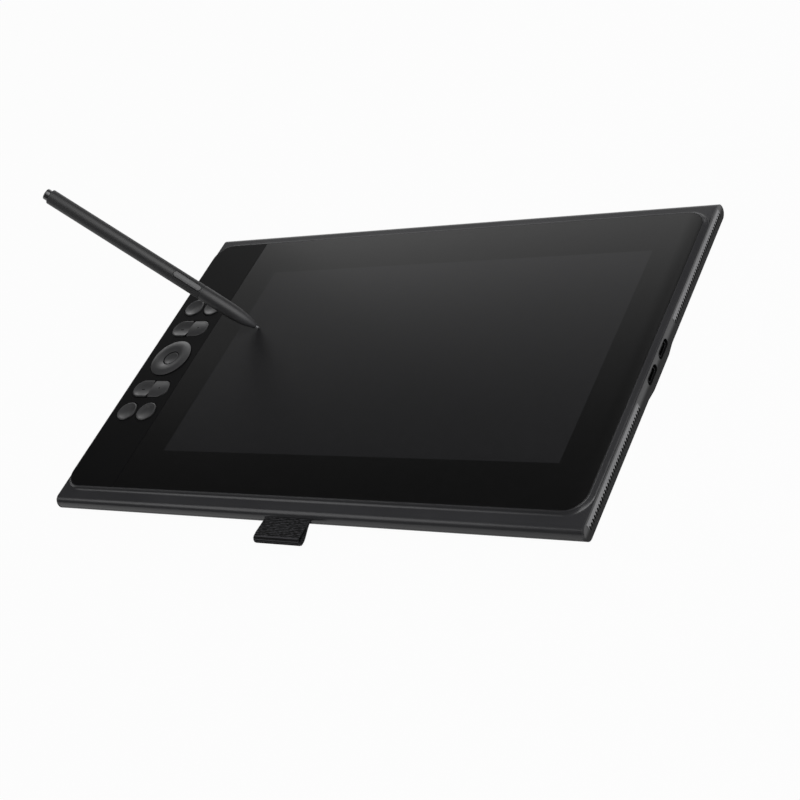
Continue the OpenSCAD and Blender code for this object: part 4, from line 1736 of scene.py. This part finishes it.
    def dial(self) -> None:
        """Make the dial, a rounded ring round a bowl."""
        r, low = self.dial_d / 2, self.z_low()
        skirt, wide = r - self.dial_skirt, r + self.flange
        profile = [(self.hub_r, self.z_dial), (skirt, self.z_dial), (skirt, low), (wide, low)]
        profile += [(wide, self.z_flange), (r, self.z_flange)]
        for i in range(self.dial_steps + 1):
            q = r + (self.bowl_r - r) * i / self.dial_steps
            profile.append((q, self.z_top + self.rise(q)))
        profile += [(self.bowl_r, self.z_hub), (self.hub_r, self.z_hub), (self.hub_r, self.z_dial)]
        mesher = Mesher("dial_crown")
        mesher.lathe(profile, (self.x, 0.0), 128)
        mesher.weld()
        dress(mesher.done(35.0), KEY, Body.DIAL, ["dial_ring"])

    def button(self) -> None:
        """Make the button in the dial's bowl."""
        top, r, stem = self.z_button, self.button_r, self.button_stem_r
        low = top - self.button_t
        profile = [(0.0, self.z_stem), (stem, self.z_stem), (stem, low), (r, low)]
        profile += round_over(r, top, self.button_rim, 4)
        profile += dished(r - 2 * self.button_rim, top, self.button_dish, 7)
        mesher = Mesher("dial_button_cap")
        mesher.lathe(profile, (self.x, 0.0), 64)
        dress(mesher.done(self.crease), KEY, Body.DIAL_BUTTON, ["dial_button"])

    def build(self) -> None:
        """Make every key, the dial and its button."""
        for row in (Row.BACK, Row.FRONT):
            for side in Side:
                self.round_key(row, side)
        for row in (Row.UPPER, Row.LOWER):
            for side in Side:
                self.split_key(row, side)
        self.dial()
        self.button()


@dataclass
class DomeMat(KeyLayout):
    """Rubber mat under the keys, with a dome under each that gives way as the key is pressed."""

    width: float = 30.2
    depth: float = 112.2
    low: float = 9.4
    thick: float = 0.4
    hole_r: float = 14.6
    foot_r: float = 3.0
    head_r: float = 2.0
    head_soft: float = 0.1
    post_r: float = 3.1
    post_in: float = 0.4
    shoulder: float = 0.88
    keep: float = 0.5

    def sheet(self) -> None:
        """Make the flat mat, open round the dial."""
        mesher, tool = Mesher("dome_sheet"), Mesher("dial_hole")
        x, y, top, r = self.width / 2, self.depth / 2, self.low + self.thick, self.hole_r
        mesher.box((self.x - x, -y, self.low), (self.x + x, y, top))
        under, over = self.low - 1, top + 1
        tool.lathe([(0.0, under), (r, under), (r, over), (0.0, over)], (self.x, 0.0), 96)
        mat = cut(mesher.done(), tool.done())
        dress(mat, SILICONE, Body.TABLET, ["dome_mat"])

    def dome(self, name: str, at: Point2, foot: float, head: float) -> None:
        """Make one dome.

        Args:
            name: Name of the key above it.
            at: Where it stands.
            foot: Radius of its foot.
            head: Radius of its flat top.
        """
        base, floor = self.low + self.thick / 2, self.low + self.thick
        rise = (self.z_stem - floor) * self.shoulder
        profile = [(0.0, base), (foot, base), (foot, floor)]
        for turn in arc(20, 90, 5):
            lean = foot - (foot - head) * math.sin(turn)
            profile.append((lean, floor + rise * (1 - math.cos(turn))))
        profile += [(head - self.head_soft, self.z_stem), (0.0, self.z_stem)]
        mesher = Mesher(name + "_dome")
        mesher.lathe(profile, at, 40)
        piece = dress(mesher.done(30.0), SILICONE, Body.TABLET)
        anchor = (at[0] * MM, at[1] * MM, self.low * MM)
        name + "_press"
        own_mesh(piece)

    def build(self) -> None:
        """Make the mat and its nine domes."""
        self.sheet()
        for row in Row:
            for side in Side:
                name = self.body(row, side).value
                self.dome(name, self.spot(row, side), self.foot_r, self.head_r)
        self.dome("dial_button", (self.x, 0.0), self.post_r, self.post_r - self.post_in)


@dataclass
class Pen:
    """Pen, drawn upright with its tip at the origin and then leaned over the glass."""

    tip: Point3 = (-93.0, 23.3, 13.7)
    lean: float = 43.8
    turn: float = 174.6
    roll: float = 164.5
    radius: float = 4.6
    bore: float = 3.8
    slip: float = 0.05
    edge: float = 0.18
    nib_r: float = 0.9
    nib_out: float = 2.2
    nib_l: float = 30.0
    throat: Point2 = (26.0, 27.0)
    tip_wall: float = 0.4
    tip_soft: Point2 = (0.15, 0.12)
    taper: float = 24.0
    taper_steps: int = 30
    fullness: float = 3.1
    nose_l: float = 39.7
    ring_t: float = 0.6
    ring_in: float = 0.12
    tail: float = 146.5
    tail_soft: float = 0.55
    length: float = 149.7
    eraser_r: float = 3.45
    eraser_low: float = 142.4
    eraser_soft: float = 0.6
    eraser_flat: float = 0.4
    rocker_z: float = 41.0
    rocker_l: float = 18.8
    rocker_w: float = 3.6
    rocker_gap: float = 0.28
    rocker_low: float = 1.75
    rocker_proud: float = 0.22
    rocker_rows: Tuple[Point2, ...] = ((0.985, 0.1), (0.95, 0.02), (0.88, 0.0))
    rocker_side: float = 0.3
    rocker_steps: int = 10
    crown_rows: int = 24
    dip: float = 0.16
    dip_run: float = 2.2

    def place(self) -> Matrix:
        """Where the upright pen goes in the part's frame.

        Returns:
            The move from local millimetres.
        """
        turn = Matrix.Rotation(math.radians(self.turn), 4, "Z")
        lean = Matrix.Rotation(math.radians(self.lean), 4, "Y")
        roll = Matrix.Rotation(math.radians(self.roll), 4, "Z")
        return Matrix.Translation(Vector(self.tip)) @ turn @ lean @ roll

    def turned(self, name: str, profile: Sequence[Point2], steps: int = 72) -> bpy.types.Object:
        """Make one turned piece.

        Args:
            name: Its name.
            profile: Radius and height of each ring.
            steps: Points in a ring.

        Returns:
            The object.
        """
        mesher = Mesher(name, self.place())
        mesher.lathe(profile, steps=steps)
        mesher.weld()
        return mesher.done()

    def nose(self) -> None:
        """Nose that tapers to the nib, with a softened seam edge."""
        tip_r, bore, z = self.nib_r + self.tip_wall, self.nib_r + self.slip, self.nib_out
        profile = [(self.bore, self.nose_l), (self.bore, z + self.throat[1])]
        profile += [(bore, z + self.throat[0]), (bore, z)]
        profile += [(tip_r - self.tip_soft[0], z), (tip_r, z + self.tip_soft[1])]
        for i in range(1, self.taper_steps + 1):
            s = i / self.taper_steps
            r = tip_r + (self.radius - tip_r) * (1 - (1 - s) ** self.fullness)
            profile.append((r, z + self.taper * s))
        profile += round_over(self.radius, self.nose_l, self.edge, 3)
        profile.append((self.bore, self.nose_l))
        dress(self.turned("nose_sleeve", profile), PEN_NOSE, Body.PEN, ["pen_nose"])

    def barrel(self) -> None:
        """Barrel with a round-ended slot for the rocker and a softened tail."""
        low, edge, stop = self.nose_l + self.ring_t, self.edge, self.eraser_low - 1
        mouth = self.eraser_r + self.slip
        profile = [(self.bore, low)]
        profile += [(self.radius - edge * (1 - math.sin(a)), low + edge * (1 - math.cos(a)))
                    for a in arc(0, 90, 3)]
        profile += round_over(self.radius, self.tail, self.tail_soft, 5)
        profile += [(mouth, self.tail), (mouth, stop), (self.bore, stop), (self.bore, low)]
        slot = Mesher("rocker_slot", self.place())
        outline = self.rocker_outline(-self.rocker_gap)
        slot.loft([[(x, y, z) for y, z in outline] for x in (0.5, self.radius + 1)])
        barrel = cut(self.turned("barrel_tube", profile, 96), slot.done())
        dress(barrel, PEN_SOFT, Body.PEN, ["pen_barrel"])

    def rocker_middle(self) -> float:
        """Where the rocker's middle is along the pen."""
        return self.rocker_z + self.rocker_l / 2

    def rocker_outline(self, inset: float) -> List[Point2]:
        """Outline of the rocker.

        Args:
            inset: How far it is drawn in.

        Returns:
            Places across and along the pen.
        """
        length, width = self.rocker_l - 2 * inset, self.rocker_w - 2 * inset
        return [(b, self.rocker_middle() + a) for a, b in stadium(length, width, self.rocker_steps)]

    def skin(self, across: float, along: float) -> float:
        """Height of the rocker's top, which follows the barrel and dips in the middle.

        Args:
            across: Place across the pen.
            along: Place along the pen.

        Returns:
            The distance from the pen's axis plane.
        """
        far = (along - self.rocker_middle()) / self.dip_run
        arch = math.sqrt((self.radius + self.rocker_proud) ** 2 - across * across)
        return arch - self.dip * math.exp(-(far ** 2))

    def rocker(self) -> None:
        """Side rocker: a bar with round ends, softened along its upper edge."""
        mesher = Mesher("rocker_bar", self.place())
        outline = self.rocker_outline(0.0)
        rows = [[(self.rocker_low, y, z) for y, z in outline]]
        rows.append([(self.skin(y, z) - self.rocker_side, y, z) for y, z in outline])
        for share, drop in self.rocker_rows:
            near = self.rocker_outline(self.rocker_w / 2 * (1 - share))
            rows.append([(self.skin(y, z) - drop, y, z) for y, z in near])
        made = mesher.loft(rows, caps=False)
        mesher.face(*reversed(made[0]))
        self.crown(mesher, made[-1])
        dress(mesher.done(30.0), ROCKER, Body.ROCKER, ["pen_rocker"])

    def crown(self, mesher: Mesher, rim: Sequence[bmesh.types.BMVert]) -> None:
        """Close the rocker's top with rows that run across it.

        Args:
            mesher: The rocker's mesh.
            rim: Vertices of its top edge, from one end's side round to the other.
        """
        count = len(rim) // 2
        right, left = list(rim[:count]), list(rim[count:])
        start, stop, half = right[0].co.z, left[-1].co.z, abs(right[0].co.y)
        corners = {0: (right[0], right[-1]), self.crown_rows: (left[-1], left[0])}
        rows = []
        for i in range(self.crown_rows + 1):
            z = start + (stop - start) * i / self.crown_rows
            ends = corners.get(i) or mesher.row((self.skin(y, z), y, z) for y in (-half, half))
            middle = mesher.row((self.skin(y, z), y, z) for y in (-half / 2, 0.0, half / 2))
            rows.append([ends[0], *middle, ends[1]])
        for first, second in zip(rows, rows[1:]):
            mesher.bridge(first, second, closed=False)
        mesher.face(*rows[0], *reversed(right[1:-1]))
        mesher.face(*reversed(rows[-1]), *reversed(left[1:-1]))
        for column in (0, -1):
            mesher.face(*(row[column] for row in rows))

    def build(self) -> None:
        """Make the pen's pieces."""
        self.nose()
        self.barrel()
        r, low, high = self.radius - self.ring_in, self.nose_l, self.nose_l + self.ring_t
        ring = [(self.bore, low), (r, low), (r, high), (self.bore, high), (self.bore, low)]
        dress(self.turned("seam_ring", ring), PEN_SOFT, Body.PEN, ["pen_ring"])
        nib = [(self.nib_r * math.sin(a), self.nib_r * (1 - math.cos(a))) for a in arc(0, 90, 8)]
        nib += [(self.nib_r, self.nib_l), (0.0, self.nib_l)]
        dress(self.turned("nib_rod", nib, 32), NIB, Body.NIB, ["pen_nib"])
        plug = [(0.0, self.eraser_low), (self.eraser_r, self.eraser_low)]
        plug += round_over(self.eraser_r, self.length, self.eraser_soft, 6)
        plug += [(self.eraser_r * self.eraser_flat, self.length), (0.0, self.length)]
        eraser = self.turned("eraser_plug", plug, 64)
        dress(eraser, PLUG, Body.ERASER, ["pen_eraser"])
        self.rocker()


@dataclass
class PullTab:
    """Ribbon folded into a loop, its two ends going into the slot in the front edge."""

    width: float = 29.6
    thick: float = 0.8
    front: float = -110.2
    out: float = 14.6
    tail: float = 8.4
    tail_steps: int = 16
    z: float = 6.2
    fold_h: float = 5.2
    fold_reach: float = 1.2
    lift: float = 1.0
    gap: float = 0.3
    side_steps: int = 60
    bend_steps: int = 36
    pitch: float = 1.05
    ridge: float = 0.3
    weave: float = 0.035
    nap: float = 0.02
    selvage: Point2 = (0.2, 0.8)
    selvage_thin: float = 0.75

    def fold_y(self) -> float:
        """Where the straight sides end and the fold begins."""
        return self.front - self.out + self.fold_h / 2

    def side(self, way: int) -> List[Point2]:
        """Middle line of one layer in Y and Z, from its end to the fold.

        Args:
            way: 1 for the upper layer and -1 for the lower one.

        Returns:
            The line's points.
        """
        near, r = self.thick / 2, (self.fold_h - self.thick) / 2
        mouth, end = self.front - self.gap, self.fold_y()
        made = []
        for i in range(self.tail_steps):
            t = i / self.tail_steps
            rise = self.lift * ease(t)
            made.append((self.front + self.tail * (1 - t), self.z + way * near + rise))
        for i in range(self.side_steps + 1):
            t = i / self.side_steps
            middle = self.z + self.lift * (1 - ease(t))
            made.append((mouth + (end - mouth) * t, middle + way * (near + (r - near) * ease(t))))
        return made

    def path(self) -> List[Point2]:
        """Middle line of the ribbon, from its upper end round the fold to its lower end.

        Returns:
            The line's points in Y and Z.
        """
        r, end = (self.fold_h - self.thick) / 2, self.fold_y()
        turns = arc(0, 180, self.bend_steps)[1:-1]
        bend = [(end - r * math.sin(a), self.z + r * math.cos(a)) for a in turns]
        return self.side(1) + bend + list(reversed(self.side(-1)))

    def faces(self) -> Tuple[List[Point2], List[Point2], float]:
        """Both faces of the ribbon; the outer one is ribbed, most at the fold.

        Returns:
            Outer face, inner face, and the ribbon's length.
        """
        line, half = self.path(), self.thick / 2
        outer, inner, length = [], [], 0.0
        for i, (y, z) in enumerate(line):
            y0, z0 = line[max(i - 1, 0)]
            y1, z1 = line[min(i + 1, len(line) - 1)]
            length += math.hypot(y - y0, z - z0)
            run = math.hypot(y1 - y0, z1 - z0)
            ny, nz = (z1 - z0) / run, -(y1 - y0) / run
            rib = self.ridge if y < self.fold_y() + self.fold_reach else self.weave
            wave = rib * (0.5 - 0.5 * math.cos(2 * math.pi * length / self.pitch))
            outer.append((y + ny * (half - wave), z + nz * (half - wave)))
            inner.append((y - ny * (half - self.nap), z - nz * (half - self.nap)))
        return outer, inner, length

    def build(self) -> None:
        """Make the ribbon, thinner along its two selvages."""
        outer, inner, length = self.faces()
        count, half = len(outer), self.width / 2
        near, far = (half - s for s in self.selvage)
        stops = [-half, -near, -far] + [half * t for t in (-0.6, -0.2, 0.2, 0.6)]
        rows = []
        for x in stops + [far, near, half]:
            thin = self.selvage_thin if abs(x) == half else 1.0
            row = []
            for face, other in ((outer, inner), (inner[::-1], outer[::-1])):
                for (y, z), (v, w) in zip(face, other):
                    row.append((
                        x,
                        (y + v) / 2 + (y - v) / 2 * thin,
                        (z + w) / 2 + (z - w) / 2 * thin,
                    ))
            rows.append(row)
        mesher = Mesher("ribbon_loop")
        made = mesher.loft(rows, caps=False)
        for verts in (made[0], made[-1]):
            mesher.bridge(verts[:count], verts[:count - 1:-1], closed=False)
        tab = dress(mesher.done(60.0), RIBBON, Body.TABLET, ["pull_tab"])
        length * MM


@dataclass
class Underside:
    """Rubber feet and the screws that hold the back cover."""

    foot_l: float = 50.0
    foot_w: float = 9.0
    foot_top: float = 2.5
    foot_x: float = 115.0
    foot_y: float = 84.0
    foot_soft: float = 0.5
    tread: Tuple[Point2, ...] = ((1.7, 0.0), (1.9, 0.25), (2.2, 0.25), (2.4, 0.0))
    screw_x: Tuple[float, ...] = (-154.395, -61.758, 61.758, 154.395)
    screw_y: float = 102.85
    head_r: float = 1.8
    head_soft: float = 0.2
    shank_r: float = 0.95
    head_low: float = 2.1
    head_top: float = 2.8
    shank_top: float = 9.1
    cross_arm: float = 1.05
    cross_half: float = 0.28
    cross_deep: float = 0.45
    cross_out: float = 0.3

    def feet(self) -> None:
        """Feet with a soft lower edge and a shallow tread line."""
        mesher, soft = Mesher("foot_pads"), self.foot_soft
        places = [(sx * self.foot_x, sy * self.foot_y) for sx in (-1, 1) for sy in (-1, 1)]
        rows = [(0.0, self.foot_top)]
        rows += [(soft * (1 - math.cos(a)), soft * (1 - math.sin(a))) for a in arc(0, 90, 4)]
        rows += self.tread
        for cx, cy in places + [(0.0, 0.0)]:
            loops = []
            for i, z in rows:
                outline = stadium(self.foot_l - 2 * i, self.foot_w - 2 * i, 12)
                loops.append([(cx + x, cy + y, z) for x, y in outline])
            mesher.loft(loops)
        dress(mesher.done(30.0), RUBBER, Body.TABLET, ["rubber_feet"])

    def screws(self) -> None:
        """Screws with a cross recess in a softened head."""
        mesher, tool = Mesher("cover_screw_set"), Mesher("cross_recess")
        low, soft, arm, thin = self.head_low, self.head_soft, self.cross_arm, self.cross_half
        profile = [(0.0, low), (self.head_r - soft, low), (self.head_r, low + soft)]
        profile += [(self.head_r, self.head_top), (self.shank_r, self.head_top)]
        profile += [(self.shank_r, self.shank_top), (0.0, self.shank_top)]
        quarter = [(arm, -thin), (arm, thin), (thin, thin)]
        cross = []
        for _ in range(4):
            cross += quarter
            quarter = [(-b, a) for a, b in quarter]
        for x in self.screw_x:
            for y in (-self.screw_y, self.screw_y):
                mesher.lathe(profile, (x, y), 32)
                tool.loft([[(x + a, y + b, z) for a, b in cross]
                           for z in (low - self.cross_out, low + self.cross_deep)])
        screws = cut(mesher.done(30.0), tool.done())
        dress(screws, SCREW, Body.TABLET, ["cover_screws"])

    def build(self) -> None:
        """Make the feet and the screws."""
        self.feet()
        self.screws()


@dataclass
class Sockets(PortSizes):
    """The two port sockets: a shell round a tongue with contacts on both faces."""

    mouth: float = 172.35
    depth: float = 9.2
    width: float = 8.94
    height: float = 3.2
    wall: float = 0.3
    soft: float = 0.1
    floor: float = 1.0
    tongue_w: float = 6.7
    tongue_t: float = 0.7
    tongue_back: float = 0.9
    tongue_front: float = 1.0
    count: int = 12
    pitch: float = 0.5
    length: float = 4.0
    contact_front: float = 1.6
    contact_half: float = 0.13
    contact_t: float = 0.06

    def shells(self) -> None:
        """Make the shells, closed at the back, near-black as painted shade."""
        mesher, back, soft = Mesher("socket_sleeves"), self.mouth - self.depth, self.soft
        stops = ((back, 0.0), (self.mouth - soft, 0.0), (self.mouth, soft),
                 (self.mouth, self.wall - soft), (self.mouth - soft, self.wall),
                 (back + self.floor, self.wall))
        for middle in self.middles():
            mesher.loft([
                self.port_row(x, middle, self.width - 2 * inset, self.height - 2 * inset)
                for x, inset in stops
            ])
        dress(mesher.done(40.0), STEEL_PAINTED_SHADE, Body.TABLET, ["socket_shells"])

    def tongues(self) -> None:
        """Make the tongues."""
        mesher, wide, thick = Mesher("socket_blades"), self.tongue_w / 2, self.tongue_t / 2
        back, front = self.mouth - self.depth + self.tongue_back, self.mouth - self.tongue_front
        for middle in self.middles():
            mesher.box((back, middle - wide, self.port_z - thick),
                       (front, middle + wide, self.port_z + thick))
        dress(mesher.done(30.0), BLACK, Body.TABLET, ["socket_tongues"])

    def contacts(self) -> None:
        """Make the contacts on both faces of each tongue."""
        mesher = Mesher("socket_contacts")
        stop = self.mouth - self.contact_front
        for middle in self.middles():
            for way in (-1, 1):
                face = self.port_z + way * self.tongue_t / 2
                low, high = sorted((face, face + way * self.contact_t))
                for i in range(self.count):
                    y = middle + (i - (self.count - 1) / 2) * self.pitch
                    mesher.box((stop - self.length, y - self.contact_half, low),
                               (stop, y + self.contact_half, high))
        dress(mesher.done(30.0), CONTACT, Body.TABLET)

    def build(self) -> None:
        """Make both sockets."""
        self.shells()
        self.tongues()
        self.contacts()


def dress_nodes() -> None:
    """Give every node that stays in view, or inside, its finish."""
    redress(["back_cover"], COVER)
    redress(["key_panel"], STRIP)
    redress(["glass_tape"], TAPE)
    redress(["bond_layer", "light_guide"], ACRYLIC)
    redress(["lcd_cell"], CELL)
    redress(["diffuser_film", "reflector_sheet"], FILM)
    redress(["backlight_tray", "sensor_shield", "tab_clamp"], STEEL)
    redress(["mid_frame"], FRAME)
    redress(["led_bar", "sensor_board", "key_board", "main_board", "pen_board"], BOARD)
    redress(["dial_hub", "rocker_pin", "rocker_switches"], PIN)
    redress(["dial_encoder", "board_chips", "pressure_sensor", "eraser_switch"], BLACK)
    redress(["key_flex", "screen_flex", "sensor_flex"], FLEX)
    redress(["frame_screws", "board_screws"], SCREW)
    redress(["pen_core"], FERRITE)
    redress(["pen_coil"], COPPER)


# Studio


@dataclass(frozen=True)
class Softbox:
    """One rectangular lamp that looks at a point, with the brightness of its face; 1 is white."""

    name: str
    at: Point3
    aim: Point3
    size: Point2
    level: float

    def build(self) -> None:
        """Hang the lamp."""
        lamp = bpy.data.lights.new(self.name, "AREA")
        lamp.shape = "RECTANGLE"
        lamp.size, lamp.size_y = self.size
        lamp.energy = self.level * math.pi * self.size[0] * self.size[1]
        hung = bpy.data.objects.new(self.name, lamp)
        hung.location = self.at
        look = Vector(self.aim) - Vector(self.at)
        hung.rotation_euler = look.to_track_quat("-Z", "Y").to_euler()
        bpy.context.scene.collection.objects.link(hung)


LAMPS = (
    Softbox("back_box", (-0.6, 1.15, 0.375), (-0.6, 0.0, 0.375), (1.35, 0.75), 0.85),
    Softbox("upper_box", (-1.05, 1.15, 1.05), (-1.05, 0.0, 1.05), (2.5, 0.6), 0.22),
    Softbox("low_box", (-1.7, 1.15, 0.42), (-1.7, 0.0, 0.42), (0.8, 0.66), 0.18),
    Softbox("left_box", (-0.75, -0.6, 0.78), (0.0, 0.0, 0.0), (0.6, 0.6), 2.2),
    Softbox("key_box", (0.82, -0.05, 1.2), (-0.1, 0.03, 0.05), (1.6, 1.05), 4.3),
)


@dataclass
class Studio:
    """Camera, pale floor, surrounding light and lamps."""

    eye: Point3 = (503.67, -466.90, 497.66)
    right: Point3 = (0.81240, 0.39266, -0.43107)
    down: Point3 = (0.00387, -0.74289, -0.66941)
    forward: Point3 = (-0.58309, 0.54216, -0.60504)
    focal: float = 1527.9
    frame_px: float = 800.0
    sensor: float = 36.0
    clip: Point2 = (0.01, 50.0)
    floor_half: float = 4000.0
    floor_z: float = -0.05
    floor_grey: Colour = (0.25, 0.25, 0.25)
    floor_glow: float = 0.97
    white: Colour = (1.0, 1.0, 1.0)
    ambient: float = 0.025
    horizon: Point2 = (0.0, 0.05)

    def camera(self) -> None:
        """Set the camera at the photograph's viewpoint."""
        lens = bpy.data.cameras.new("camera")
        lens.sensor_width = self.sensor
        lens.lens = self.sensor * self.focal / self.frame_px
        lens.clip_start, lens.clip_end = self.clip
        eye = bpy.data.objects.new("camera", lens)
        columns = (Vector(self.right), -Vector(self.down), -Vector(self.forward))
        turn = Matrix([[c[i] for c in columns] for i in range(3)]).to_quaternion()
        place = Matrix.Translation(Vector(self.eye) * MM)
        eye.matrix_world = place @ turn.to_matrix().to_4x4()
        bpy.context.scene.collection.objects.link(eye)
        bpy.context.scene.camera = eye

    @staticmethod
    def seen(graph: Graph) -> Sock:
        """Rays that look at the background, straight or in a reflection.

        Args:
            graph: Nodes of the floor or the world.

        Returns:
            1 for those rays and 0 for the others.
        """
        names = ("Is Camera Ray", "Is Glossy Ray", "Is Transmission Ray")
        straight, mirrored, through = (graph.add("ShaderNodeLightPath", output=n) for n in names)
        return straight.peak(mirrored).peak(through)

    def floor(self) -> None:
        """Lay a pale floor under the feet that keeps a faint shadow."""
        mesher, half = Mesher("floor"), self.floor_half
        corners = ((-half, -half), (half, -half), (half, half), (-half, half))
        mesher.face(*mesher.row((x, y, self.floor_z) for x, y in corners))
        ground = mesher.done()
        made = bpy.data.materials.new("pale_floor")
        made.use_nodes = True
        graph = Graph(made.node_tree)
        plain = graph.add("ShaderNodeBsdfDiffuse", None, {"Color": tone(self.floor_grey)})
        glow = graph.add("ShaderNodeEmission", None, {"Color": tone(self.white), "Strength": 1.0})
        share = self.seen(graph) * self.floor_glow
        both = graph.add("ShaderNodeMixShader", None, {0: share, 1: plain, 2: glow})
        graph.add("ShaderNodeOutputMaterial", None, {"Surface": both})
        ground.data.materials.append(made)

    def world(self) -> None:
        """White where the camera sees it and at the floor's edge, and a low light elsewhere."""
        world = bpy.data.worlds.new("studio")
        world.use_nodes = True
        graph = Graph(world.node_tree)
        height = graph.axis(graph.add("ShaderNodeTexCoord", output="Generated"), "Z")
        straight = graph.add("ShaderNodeLightPath", output="Is Camera Ray")
        share = straight.peak(self.seen(graph) * (1 - height.step(*self.horizon)))
        low, full = (
            graph.add("ShaderNodeBackground", None, {"Color": tone(self.white), "Strength": level})
            for level in (self.ambient, 1.0)
        )
        sky = graph.add("ShaderNodeMixShader", None, {0: share, 1: low, 2: full})
        graph.add("ShaderNodeOutputWorld", None, {"Surface": sky})
        bpy.context.scene.world = world

    def build(self) -> None:
        """Set up the studio."""
        self.camera()
        self.floor()
        self.world()
        for lamp in LAMPS:
            lamp.build()
        bpy.context.scene.view_settings.view_transform = "Standard"


def main() -> None:
    """Build the part and its studio in order."""
    logging.basicConfig(level=logging.INFO, format="%(name)s: %(message)s")
    Studio().build()
    dress_nodes()
    Housing().build()
    EndCap(name="right_end", node="right_cap", sign=1, ports=True).build()
    EndCap(name="left_end", node="left_cap", sign=-1, ports=False).build()
    Screen().build()
    KeyStrip().build()
    DomeMat().build()
    Pen().build()
    PullTab().build()
    Underside().build()
    Sockets().build()


if __name__ == "__main__":
    main()
